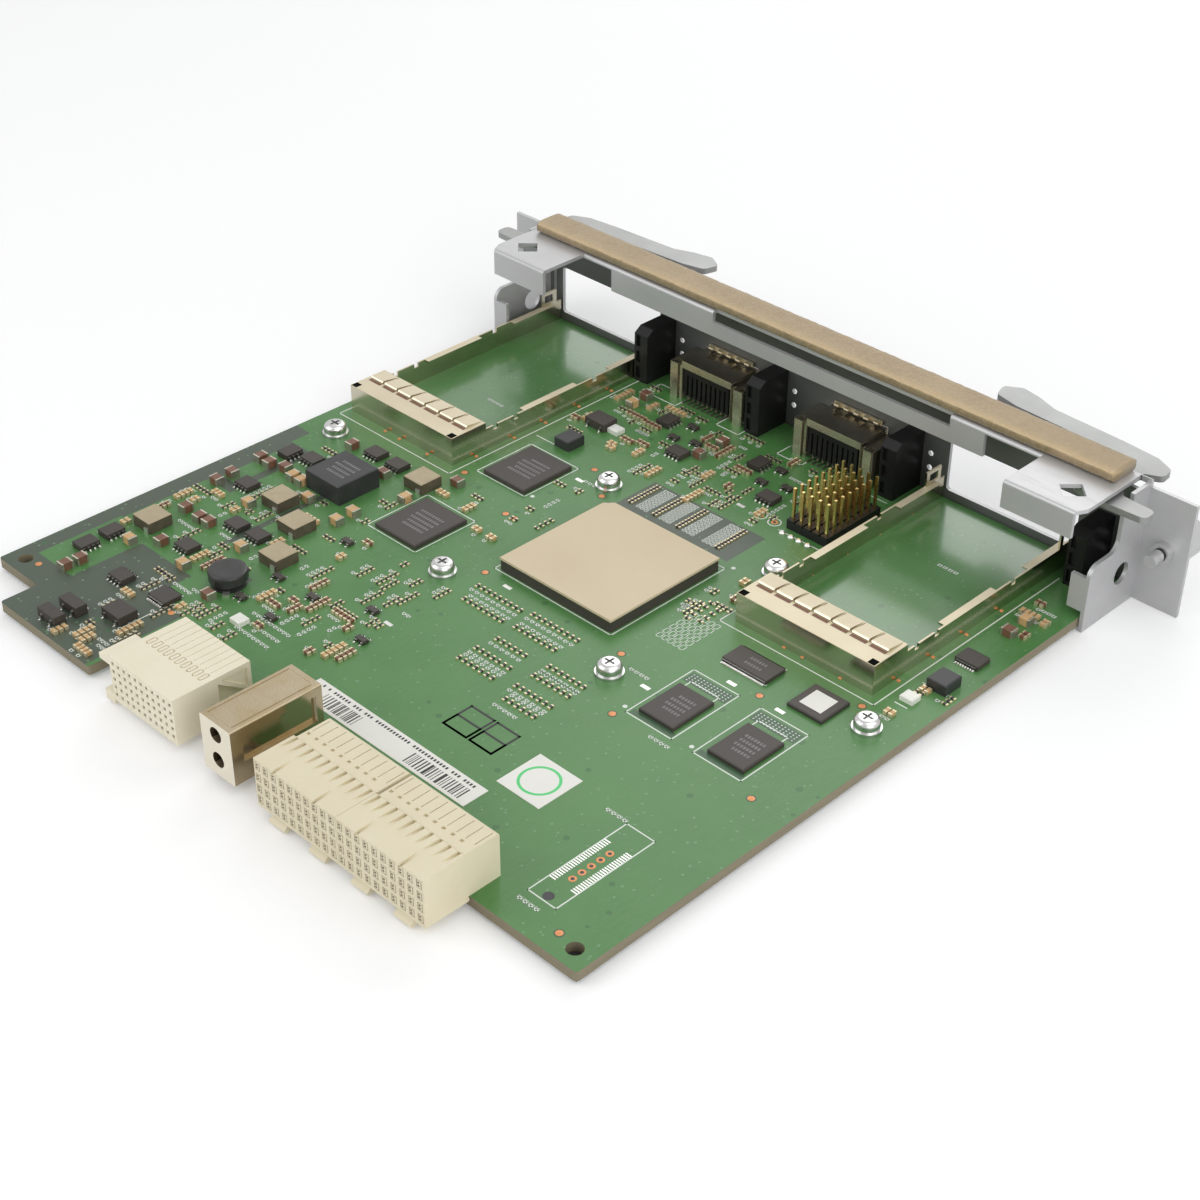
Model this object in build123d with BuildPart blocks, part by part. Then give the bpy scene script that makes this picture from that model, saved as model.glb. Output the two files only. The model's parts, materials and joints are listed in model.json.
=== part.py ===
from build123d import *
import os

os.makedirs("parts", exist_ok=True)

# Frame: X runs along the front panel, Y runs from the panel to the backplane connectors, Z is up.
# The origin is the middle of the panel's seating plane, at the level of the board's underside.

# Board
board_width = 189.2
board_depth = 177.0
board_thickness = 2.4
board_front_gap = 0.3
tongue_left = 44.4
tongue_right = 78.9
tongue_reach = 9.5
board_corner_radius = 0.8
tooling_hole_radius = 1.8
tooling_hole_inset_x = 4.6
tooling_hole_inset_y = 4.2
sheet_under_thickness = 0.4
sheet_under_inset = 0.4
half_board = board_width / 2
board_top = board_thickness

# Front panel
panel_gauge = 1.0
bend_radius = 0.9
panel_bottom = -panel_gauge
panel_top = 30.4
end_flange_reach = 12.8
side_gap = 0.3
side_inner = half_board + side_gap
side_outer = side_inner + panel_gauge
panel_half = side_outer + end_flange_reach - panel_gauge
top_flange_depth = 8.7
bottom_flange_depth = 9.0
flange_under = panel_top - panel_gauge
lip_left = -57.2
lip_right = 62.5
lip_bottom = 23.4
lip_slot_left = -47.4
lip_slot_right = 26.7
lip_slot_bottom = 27.3
lip_slot_depth = 1.6
catch_inner = half_board - 21.7
catch_outer = half_board - 1.5
catch_depth = 23.6
catch_lip_drop = 7.0
catch_corner = 3.2
diamond_side = 5.1
diamond_x = half_board - 8.4
diamond_y = 16.3

# Top gasket
gasket_width = 9.4
gasket_height = 3.3
gasket_half_length = half_board - 3.6
gasket_round = 1.3

# Side plates
side_low_depth = 20.0
side_high_depth = 9.6
side_low_top = 16.0
side_notch_start = 6.6
side_tab_reach = 3.8
side_tab_bottom = 4.2
side_foot_reach = 3.0
side_hole_radius = 2.8
side_hole_y = 6.6
side_hole_z = 8.6

# Levers
lever_gauge = 1.6
lever_bottom = 27.0
lever_top = lever_bottom + lever_gauge
pivot_x = half_board - 9.0
pivot_y = 5.0
pivot_radius = 2.5
pivot_clearance = 0.05
pivot_head_radius = 4.0
pivot_head_height = 1.0
pivot_collar_radius = 3.4
pivot_axial_gap = 0.1
pivot_stem_radius = 1.5
lever_slot_outer = 8.9
lever_slot_inner = 7.2
lever_slot_gap = 0.4

# Captive screws
screw_x = side_outer + 6.0
screw_z = 14.2
screw_radius = 1.5
screw_neck_radius = 1.1
screw_tip_reach = 6.0
running_gap = 0.06
ferrule_hole_radius = 2.6
ferrule_outer_radius = 3.6
ferrule_bore_radius = 1.58
ferrule_reach = 1.8
ferrule_lip = 0.6
knob_radius = 4.6
knob_inner_radius = 4.0
knob_length = 9.0
knob_face = 2.2
knob_gap = 0.3
driver_slot = 0.9
washer_gauge = 0.5
spring_wire = 0.35
spring_radius = 2.6
spring_pitch = 1.5
screw_travel = 3.5

# Transceiver bays
bay_width = 38.6
bay_centres = (-half_board + 14.3 + bay_width / 2, half_board - 4.2 - bay_width / 2)
bay_depth_start = 0.4
bay_rear = 75.2
bay_gauge = 0.5
bay_wall_height = 5.8
bay_cover_height = 7.6
bay_cover_depth = 11.4
bay_lip = 2.0
bay_opening_width = 36.8
bay_opening_height = 13.6
bay_opening_bottom = 4.6
bay_finger_count = 6
bay_finger_width = 4.4
bay_finger_depth = 3.6
receptacle_width = 30.0
receptacle_depth = 8.6
receptacle_height = 5.9

# Copper cable ports
port_centres = (-15.1, 26.9)
port_width = 25.0
port_top = 13.6
port_rear = 10.4
port_front = -1.8
port_ear_width = 4.2
port_shell_wall = 0.8
port_contact_count = 9
port_contact_pitch = 1.6
port_screw_radius = 1.3
port_tongue = 1.2
port_post_round = 0.6
port_post_wall = 1.8
port_pocket_width = 1.7
port_pocket_depth = 2.0
port_slot_width = 0.8
port_slot_depth = 1.5
port_hood_depth = 2.9
port_hood_lip = 0.5
port_hood_drop = 2.0
port_window_width = 2.4
port_window_depth = 3.6
port_comb_depth = 2.7
port_comb_rib = 0.9
port_comb_bottom = 3.8
port_comb_top = 11.4

# Port lamp blocks
lamp_block_width = 4.6
lamp_bay_gap = 0.3
last_lamp_centre = bay_centres[1] - (bay_width + lamp_block_width) / 2 - lamp_bay_gap
lamp_block_centres = (-half_board + 8.2, -32.6, 10.4, last_lamp_centre)
lamp_block_depth = 11.0
lamp_block_height = 17.6
lamp_hole_offset = -4.6
lamp_hole_heights = (8.4, 12.3)
lamp_hole_radius = 0.75

# Backplane connectors
signal_left = 10.3
signal_columns = 11
signal_rows = 5
signal_pitch = 2.0
signal_wall = 0.15
signal_rear = board_depth - 8.7
signal_front = board_depth + 11.0
signal_bottom = 0.9
signal_top = 12.4
signal_first_row = 2.75
signal_hole = 0.9
signal_wafer_depth = 8.4
guide_left = -9.2
guide_width = 9.9
guide_rear = board_depth - 12.0
guide_front = board_depth + 11.0
guide_bottom = 1.4
guide_top = 15.0
guide_bore_radius = 1.8
guide_bore_depth = 11.0
guide_bore_heights = (5.6, 11.9)
pair_left = -66.6
pair_width = 25.0
pair_columns = 10
pair_rows = 4
pair_rear = board_depth - 8.0
pair_front = board_depth + 11.1
pair_bottom = 1.6
pair_top = 13.4
pair_gap = 0.1
edge_gap = 0.3
hook_drop = 2.2
hook_offset = 6.2
wafer_depth = 9.0
wafer_recess = 0.35
wedge_width = 0.9
wedge_length = 4.6
wedge_drop = 0.9

# Board hardware
screw_places = ((-86.6, 84.8), (-35.8, 108.9), (18.1, 108.5), (84.3, 85.7), (-35.9, 54.7), (17.8, 54.7))
pan_head_radius = 2.9
pan_head_height = 2.5
pan_head_round = 1.3
pan_shank_radius = 1.45
washer_radius = 3.3
washer_thickness = 0.8

# Chips and parts on the board
block_edge = 0.25
switch_chip_side = 35.5
switch_chip_place = (-7.8, 80.4)
switch_chip_body = 2.7
spreader_thickness = 0.6
spreader_chamfer = 2.1
interface_chip_size = (14.2, 16.4, 1.3)
interface_chip_places = ((36.7, 98.7), (36.7, 63.9))
memory_chip_size = (9.8, 12.6, 1.1)
memory_chip_places = ((-73.6, 107.7), (-54.3, 107.7))
buffer_chip_size = (12.5, 6.1, 1.1)
buffer_chip_place = (-55.9, 85.2, 0)
buffer_lead_rows = 24
buffer_lead_pitch = 0.5
boot_chip_side = 9.4
boot_chip_height = 1.0
boot_chip_place = (-74.5, 85.8)
power_module_size = (12.3, 12.7, 5.3)
power_module_place = (63.0, 100.8)
inductor_places = ((81.4, 143.4, 0), (48.0, 132.2, 0), (55.8, 120.7, 0), (67.4, 116.4, 0), (49.8, 86.7, 0))
inductor_side = 6.5
inductor_height = 3.1
round_inductor_place = (48.8, 145.8)
round_inductor_radius = 4.6
round_inductor_height = 4.2
choke_places = ((38.8, 47.5, 0), (5.6 - half_board, 61.9, 0))
choke_size = (5.0, 5.6, 2.8)
outline_chip_size = (5.0, 3.9, 1.5)
outline_lead_rows = 4
outline_lead_pitch = 1.27
lead_reach = 1.0
lead_thickness = 0.2
lead_width = 0.42
outline_chip_places = (
    (67.3, board_depth - 15.1, 0),
    (67.1, 143.9, 0),
    (59.1, 129.6, 0),
    (66.4, 130.1, 0),
    (79.4, 117.2, 0),
    (77.4, 98.6, 0),
    (84.0, 100.4, 90),
    (60.6, 85.5, 0),
    (68.6, 85.5, 0),
    (-13.7, 31.7, 0),
    (16.3, 31.7, 0),
    (-1.6, 21.3, 90),
    (28.8, 21.8, 90),
    (half_board - 10.0, board_depth - 17.1, 90),
    (half_board - 9.8, board_depth - 24.3, 90),
)
wide_chip_places = ((54.1, board_depth - 17.4, 0), (6.7 - half_board, 50.2, 0))
wide_chip_size = (6.0, 4.6, 1.2)
wide_lead_rows = 8
wide_lead_pitch = 0.65
power_transistor_places = ((55.1, board_depth - 6.1, 0), (40.2, 34.8, 0))
rectifier_places = ((64.7, board_depth + 5.1, 0), (64.6, board_depth - 0.4, 0))
rectifier_size = (6.6, 3.0, 2.6)
rectifier_lead_pitch = 3.6
power_transistor_size = (6.6, 4.9, 2.3)
power_lead_pitch = 4.4
transistor_places = (
    (31.0, 147.7, 0),
    (42.2, 147.5, 0),
    (30.6, 136.2, 0),
    (42.4, 136.6, 0),
    (10.3, 139.0, 0),
    (17.2, 130.0, 0),
    (42.8, 116.1, 0),
    (-7.4, 27.0, 0),
    (22.4, 26.6, 0),
    (-13.8, 24.9, 0),
    (-7.4, 19.6, 0),
    (22.4, 19.3, 0),
    (16.4, 24.9, 0),
)
transistor_size = (2.9, 1.4, 1.0)
transistor_lead_pitch = 1.9
capacitor_places = (
    (half_board - 14.5, board_depth - 8.5, 90),
    (half_board - 14.7, board_depth - 12.4, 90),
    (78.7, 151.8, 0),
    (80.9, 134.3, 90),
    (75.1, 134.5, 90),
    (71.8, 134.3, 90),
    (73.0, 147.0, 90),
    (61.4, 149.2, 0),
    (47.3, 152.6, 0),
    (85.9, 121.5, 0),
    (86.1, 116.7, 0),
    (87.0, 107.2, 90),
    (83.3, 107.4, 90),
    (78.8, 105.9, 0),
    (74.4, 107.1, 90),
    (71.0, 107.1, 90),
    (72.2, 122.3, 0),
    (63.9, 110.8, 0),
    (57.9, 135.4, 0),
    (51.2, 112.4, 0),
    (51.4, 107.2, 0),
    (47.4, 94.4, 90),
    (59.8, 90.6, 0),
    (44.0, 80.5, 0),
    (75.8, 87.2, 90),
    (7.0 - half_board, 36.4, 0),
    (7.0 - half_board, 30.2, 0),
    (11.8, 28.6, 0),
    (11.6, 20.2, 90),
    (41.6, 16.6, 0),
    (41.4, 22.0, 90),
)
capacitor_size = (3.0, 2.4, 2.1)
lamp_places = ((34.8, 153.4, 0), (7.8 - half_board, 70.6, 0), (35.0, 34.6, 0))
lamp_size = (3.4, 3.0, 1.4)
header_middle = (-30.9, 28.1)
header_columns = 5
header_rows = 8
header_pitch = 2.54
header_base_height = 2.5
header_pin_side = 0.64
header_pin_top = 11.0
label_place = (-20.1, board_depth - 19.8)
label_size = (52.5, 6.8)
sticker_place = (label_place[0] - 31.2, label_place[1] - 12.7)
sticker_side = 12.2
paper_thickness = 0.12


def mirrored(part):
    return part.mirror(Plane.YZ)


# Circuit board with its tongue beside the signal connector
with BuildPart() as circuit_board:
    with BuildSketch(Plane.XY):
        with BuildLine():
            Polyline(
                (-half_board, board_front_gap),
                (half_board, board_front_gap),
                (half_board, board_depth),
                (tongue_right, board_depth),
                (tongue_right, board_depth + tongue_reach),
                (tongue_left, board_depth + tongue_reach),
                (tongue_left, board_depth),
                (-half_board, board_depth),
                close=True,
            )
        make_face()
    extrude(amount=board_thickness)
    fillet(circuit_board.edges().filter_by(Axis.Z), radius=board_corner_radius)
    hole_x = half_board - tooling_hole_inset_x
    hole_y = board_depth - tooling_hole_inset_y
    with Locations((-hole_x, hole_y), (hole_x, hole_y)):
        Hole(radius=tooling_hole_radius)
    with Locations(*screw_places):
        Hole(radius=pan_shank_radius + 0.05)
circuit_board.part.label = "circuit_board"
export_step(circuit_board.part, "parts/circuit_board.step")

# Thin insulating sheet on the board's underside
sheet_width = board_width - 2 * sheet_under_inset
sheet_depth = board_depth - bottom_flange_depth - 2 * sheet_under_inset
with BuildPart() as insulating_sheet:
    with BuildSketch(Plane.XY.offset(-sheet_under_thickness)):
        with Locations((0, (bottom_flange_depth + board_depth) / 2)):
            Rectangle(sheet_width, sheet_depth)
    extrude(amount=sheet_under_thickness)
insulating_sheet.part.label = "insulating_sheet"
export_step(insulating_sheet.part, "parts/insulating_sheet.step")

# Folded front panel: face with end flanges, top flange with lips, and a flange under the board
face_height = panel_top - panel_bottom
face_middle = (panel_top + panel_bottom) / 2
end_middle = (side_outer + panel_half) / 2
catch_middle = (catch_inner + catch_outer - catch_corner / 2) / 2
with BuildPart() as front_panel:
    with BuildSketch(Plane.XZ):
        with Locations((0, face_middle)):
            Rectangle(2 * side_outer, face_height)
        with Locations((-end_middle, face_middle - 1.0), (end_middle, face_middle - 1.0)):
            Rectangle(panel_half - side_outer + 0.01, face_height - 2.0)
    extrude(amount=panel_gauge)
    with BuildSketch(Plane.XY.offset(flange_under)):
        with Locations((0, (top_flange_depth - panel_gauge) / 2)):
            Rectangle(2 * catch_outer, top_flange_depth + panel_gauge)
    extrude(amount=panel_gauge)
    with BuildSketch(Plane.XY.offset(panel_bottom)):
        with Locations((0, bottom_flange_depth / 2)):
            Rectangle(2 * (half_board - 1.0), bottom_flange_depth)
    extrude(amount=panel_gauge)
    for side in (-1, 1):
        with BuildSketch(Plane.XY.offset(flange_under)):
            with BuildLine():
                Polyline(
                    (side * catch_inner, 0),
                    (side * catch_outer, 0),
                    (side * catch_outer, catch_depth - catch_corner),
                    (side * (catch_outer - catch_corner / 2), catch_depth),
                    (side * catch_inner, catch_depth),
                    close=True,
                )
            make_face()
            with Locations(Location((side * diamond_x, diamond_y), 45)):
                Rectangle(diamond_side, diamond_side, mode=Mode.SUBTRACT)
        extrude(amount=panel_gauge)
        with BuildSketch(Plane.XY.offset(panel_top - catch_lip_drop)):
            with Locations((side * catch_middle, catch_depth - panel_gauge / 2)):
                Rectangle(catch_outer - catch_inner - catch_corner / 2, panel_gauge)
        extrude(amount=catch_lip_drop)
    with BuildSketch(Plane.XY.offset(lip_bottom)):
        with Locations(((lip_left + lip_right) / 2, top_flange_depth - panel_gauge / 2)):
            Rectangle(lip_right - lip_left, panel_gauge)
    extrude(amount=panel_top - lip_bottom)
    with BuildSketch(Plane.XY.offset(lip_slot_bottom)):
        with Locations(((lip_slot_left + lip_slot_right) / 2, top_flange_depth - lip_slot_depth / 2)):
            Rectangle(lip_slot_right - lip_slot_left, lip_slot_depth)
    extrude(amount=panel_top - lip_slot_bottom, mode=Mode.SUBTRACT)
    bends = front_panel.edges().filter_by(Axis.X).group_by(Axis.Z)[-1]
    fillet(bends.group_by(Axis.Y)[0], radius=panel_gauge)
    with BuildSketch(Plane.XZ.offset(-1)):
        with Locations(*[(x, bay_opening_bottom + bay_opening_height / 2) for x in bay_centres]):
            RectangleRounded(bay_opening_width, bay_opening_height, 1.0)
        with Locations(*[(x, (board_top + port_top) / 2) for x in port_centres]):
            RectangleRounded(port_width - 2 * port_ear_width + 1.2, port_top - board_top + 0.8, 0.3)
        for x in port_centres:
            ear_x = port_width / 2 - port_ear_width / 2
            with Locations((x - ear_x, 8.0), (x + ear_x, 8.0)):
                Circle(port_screw_radius + 0.3)
        with Locations(*[(x + lamp_hole_offset, z) for x in lamp_block_centres for z in lamp_hole_heights]):
            Circle(lamp_hole_radius)
        with Locations((-screw_x, screw_z), (screw_x, screw_z)):
            Circle(ferrule_hole_radius)
        slot_width = lever_slot_outer + lever_slot_inner
        slot_x = pivot_x + (lever_slot_outer - lever_slot_inner) / 2
        with Locations((-slot_x, (lever_bottom + lever_top) / 2), (slot_x, (lever_bottom + lever_top) / 2)):
            Rectangle(slot_width, lever_gauge + 2 * lever_slot_gap)
    extrude(amount=panel_gauge + 2, mode=Mode.SUBTRACT)
    with Locations((-pivot_x, pivot_y, panel_top), (pivot_x, pivot_y, panel_top)):
        Hole(radius=pivot_stem_radius + pivot_clearance, depth=panel_gauge)
    edges_across = front_panel.edges().filter_by(Axis.X)
    top_edges = edges_across.filter_by_position(Axis.Z, panel_top - 0.01, panel_top + 0.01)
    bend_edges = top_edges.filter_by_position(Axis.Y, -panel_gauge - 0.01, -panel_gauge + 0.01)
    bend_edges += top_edges.filter_by_position(Axis.Y, catch_depth - 0.01, catch_depth + 0.01)
    bend_edges += top_edges.filter_by_position(Axis.Y, top_flange_depth - 0.01, top_flange_depth + 0.01)
    fillet(bend_edges, radius=bend_radius)
front_panel.part.label = "front_panel"
export_step(front_panel.part, "parts/front_panel.step")

# Conductive foam gasket lying on the top flange
with BuildPart() as top_gasket:
    with BuildSketch(Plane.XY.offset(panel_top)):
        with Locations((0, gasket_width / 2 - panel_gauge)):
            Rectangle(2 * gasket_half_length, gasket_width)
    extrude(amount=gasket_height)
    fillet(top_gasket.edges().filter_by(Axis.X).group_by(Axis.Z)[-1], radius=gasket_round)
top_gasket.part.label = "top_gasket"
export_step(top_gasket.part, "parts/top_gasket.step")

# Side plate: stepped wall with a rear tab, a lever notch, a foot on the panel and a round hole
with BuildPart() as left_side_plate:
    with BuildSketch(Plane.YZ.offset(-side_outer)):
        with BuildLine():
            Polyline(
                (0, panel_bottom),
                (side_low_depth, panel_bottom),
                (side_low_depth, side_low_top),
                (side_high_depth, side_low_top),
                (side_high_depth, lever_bottom - lever_slot_gap),
                (side_notch_start, lever_bottom - lever_slot_gap),
                (side_notch_start, flange_under),
                (0, flange_under),
                close=True,
            )
        make_face()
    extrude(amount=panel_gauge)
    edges_across = left_side_plate.edges().filter_by(Axis.X)
    step_edges = edges_across.filter_by_position(Axis.Z, side_low_top - 0.1, side_low_top + 0.1)
    fillet(step_edges, radius=3.0)
    with BuildSketch(Plane.XY.offset(side_tab_bottom)):
        with Locations((-side_inner + side_tab_reach / 2, side_low_depth - panel_gauge / 2)):
            Rectangle(side_tab_reach, panel_gauge)
    extrude(amount=side_low_top - 3.0 - side_tab_bottom)
    with BuildSketch(Plane.XY.offset(board_top + 0.6)):
        with Locations((-side_inner + side_foot_reach / 2, panel_gauge / 2)):
            Rectangle(side_foot_reach, panel_gauge)
    extrude(amount=lamp_block_height)
    with BuildSketch(Plane.YZ.offset(-side_outer)):
        with Locations((side_hole_y, side_hole_z)):
            Circle(side_hole_radius)
    extrude(amount=panel_gauge, mode=Mode.SUBTRACT)
left_side_plate.part.label = "left_side_plate"
export_step(left_side_plate.part, "parts/left_side_plate.step")
right_side_plate = mirrored(left_side_plate.part)
right_side_plate.label = "right_side_plate"
export_step(right_side_plate, "parts/right_side_plate.step")

# Ejector lever: flat plate with a thumb arm, a heel in front of the panel and a nose past the side plate
lever_outline = (
    (-16.9, 7.6),
    (-16.9, 3.4),
    (-8.2, 2.8),
    (-5.8, -1.5),
    (-5.8, -8.2),
    (-10.2, -10.5),
    (-9.8, -14.2),
    (-5.0, -16.6),
    (4.4, -17.6),
    (24.5, -18.7),
    (30.0, -20.8),
    (35.5, -22.0),
    (39.8, -19.5),
    (38.6, -15.2),
    (32.0, -13.6),
    (15.0, -12.6),
    (6.5, -9.0),
    (5.5, 3.0),
    (1.5, 6.8),
    (-7.0, 8.0),
)
with BuildPart() as left_lever:
    with BuildSketch(Plane.XY.offset(lever_bottom)) as lever_shape:
        with BuildLine():
            Polyline(*[(x - pivot_x, y + pivot_y) for x, y in lever_outline], close=True)
        make_face()
        fillet(lever_shape.vertices(), radius=1.5)
        with Locations((-pivot_x, pivot_y)):
            Circle(pivot_radius + pivot_clearance, mode=Mode.SUBTRACT)
    extrude(amount=lever_gauge)
left_lever.part.label = "left_lever"
export_step(left_lever.part, "parts/left_lever.step")
right_lever = mirrored(left_lever.part)
right_lever.label = "right_lever"
export_step(right_lever, "parts/right_lever.step")

# Shoulder rivet that carries the lever under the top flange
collar_bottom = lever_top + pivot_axial_gap
head_top = lever_bottom - pivot_axial_gap
with BuildPart() as left_lever_pivot:
    with BuildSketch(Plane.XY.offset(flange_under)):
        with Locations((-pivot_x, pivot_y)):
            Circle(pivot_stem_radius)
    extrude(amount=panel_gauge)
    with BuildSketch(Plane.XY.offset(collar_bottom)):
        with Locations((-pivot_x, pivot_y)):
            Circle(pivot_collar_radius)
    extrude(amount=flange_under - collar_bottom)
    with BuildSketch(Plane.XY.offset(head_top)):
        with Locations((-pivot_x, pivot_y)):
            Circle(pivot_radius)
    extrude(amount=collar_bottom - head_top)
    with BuildSketch(Plane.XY.offset(head_top - pivot_head_height)):
        with Locations((-pivot_x, pivot_y)):
            Circle(pivot_head_radius)
    extrude(amount=pivot_head_height)
left_lever_pivot.part.label = "left_lever_pivot"
export_step(left_lever_pivot.part, "parts/left_lever_pivot.step")
right_lever_pivot = mirrored(left_lever_pivot.part)
right_lever_pivot.label = "right_lever_pivot"
export_step(right_lever_pivot, "parts/right_lever_pivot.step")

# Ferrule pressed into the end flange: a narrow lip in front and a wide bore behind it
with BuildPart() as left_screw_ferrule:
    with BuildSketch(Plane.XZ.offset(panel_gauge)):
        with Locations((-screw_x, screw_z)):
            Circle(ferrule_outer_radius)
    extrude(amount=ferrule_lip)
    with BuildSketch(Plane.XZ.offset(-ferrule_reach)):
        with Locations((-screw_x, screw_z)):
            Circle(ferrule_hole_radius)
    extrude(amount=ferrule_reach + panel_gauge)
    with BuildSketch(Plane.XZ.offset(panel_gauge + ferrule_lip)):
        with Locations((-screw_x, screw_z)):
            Circle(screw_neck_radius + running_gap)
    extrude(amount=-ferrule_lip - panel_gauge - ferrule_reach, mode=Mode.SUBTRACT)
    with BuildSketch(Plane.XZ.offset(-ferrule_reach)):
        with Locations((-screw_x, screw_z)):
            Circle(ferrule_bore_radius)
    extrude(amount=ferrule_reach + panel_gauge, mode=Mode.SUBTRACT)
left_screw_ferrule.part.label = "left_screw_ferrule"
export_step(left_screw_ferrule.part, "parts/left_screw_ferrule.step")
right_screw_ferrule = mirrored(left_screw_ferrule.part)
right_screw_ferrule.label = "right_screw_ferrule"
export_step(right_screw_ferrule, "parts/right_screw_ferrule.step")

# Captive thumbscrew: hollow knob and thin neck, with a full-size tip that can't pass the ferrule's lip
knob_back = panel_gauge + ferrule_lip + knob_gap
knob_floor = knob_back + knob_length - knob_face
tip_start = screw_travel - panel_gauge
with BuildPart() as left_thumbscrew:
    with BuildSketch(Plane.XZ.offset(knob_back)):
        with Locations((-screw_x, screw_z)):
            Circle(knob_radius)
            Circle(knob_inner_radius, mode=Mode.SUBTRACT)
    extrude(amount=knob_length - knob_face)
    with BuildSketch(Plane.XZ.offset(knob_floor)):
        with Locations((-screw_x, screw_z)):
            Circle(knob_radius)
    extrude(amount=knob_face)
    chamfer(left_thumbscrew.faces().sort_by(Axis.Y)[0].edges(), length=0.5)
    with BuildSketch(Plane.XZ.offset(knob_back + knob_length)):
        with Locations((-screw_x, screw_z)):
            Rectangle(2 * knob_radius, driver_slot)
            Rectangle(driver_slot, 2 * knob_radius)
    extrude(amount=-driver_slot, mode=Mode.SUBTRACT)
    with BuildSketch(Plane.XZ.offset(-tip_start)):
        with Locations((-screw_x, screw_z)):
            Circle(screw_neck_radius)
    extrude(amount=tip_start + knob_floor)
    with BuildSketch(Plane.XZ.offset(-screw_tip_reach)):
        with Locations((-screw_x, screw_z)):
            Circle(screw_radius)
    extrude(amount=screw_tip_reach - tip_start)
left_thumbscrew.part.label = "left_thumbscrew"
export_step(left_thumbscrew.part, "parts/left_thumbscrew.step")
right_thumbscrew = mirrored(left_thumbscrew.part)
right_thumbscrew.label = "right_thumbscrew"
export_step(right_thumbscrew, "parts/right_thumbscrew.step")

# Slip washer between the spring and the knob, which slides with the screw and lets it turn
with BuildPart() as left_slip_washer:
    with BuildSketch(Plane.XZ.offset(knob_floor - washer_gauge - running_gap)):
        with Locations((-screw_x, screw_z)):
            Circle(knob_inner_radius - 0.4)
            Circle(screw_neck_radius + running_gap, mode=Mode.SUBTRACT)
    extrude(amount=washer_gauge)
left_slip_washer.part.label = "left_slip_washer"
export_step(left_slip_washer.part, "parts/left_slip_washer.step")
right_slip_washer = mirrored(left_slip_washer.part)
right_slip_washer.label = "right_slip_washer"
export_step(right_slip_washer, "parts/right_slip_washer.step")

# Coil spring between the ferrule and the slip washer
spring_start = panel_gauge + ferrule_lip + spring_wire
spring_length = knob_floor - washer_gauge - running_gap - spring_start - spring_wire - running_gap
with BuildPart() as left_screw_spring:
    with BuildLine():
        Helix(pitch=spring_pitch, height=spring_length, radius=spring_radius)
    with BuildSketch(Plane.XZ):
        with Locations((spring_radius, 0)):
            Circle(spring_wire)
    sweep(is_frenet=True)
spring_placed = left_screw_spring.part.moved(Location((-screw_x, -spring_start, screw_z), (90, 0, 0)))
spring_placed.label = "left_screw_spring"
export_step(spring_placed, "parts/left_screw_spring.step")
right_screw_spring = mirrored(spring_placed)
right_screw_spring.label = "right_screw_spring"
export_step(right_screw_spring, "parts/right_screw_spring.step")

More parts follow.
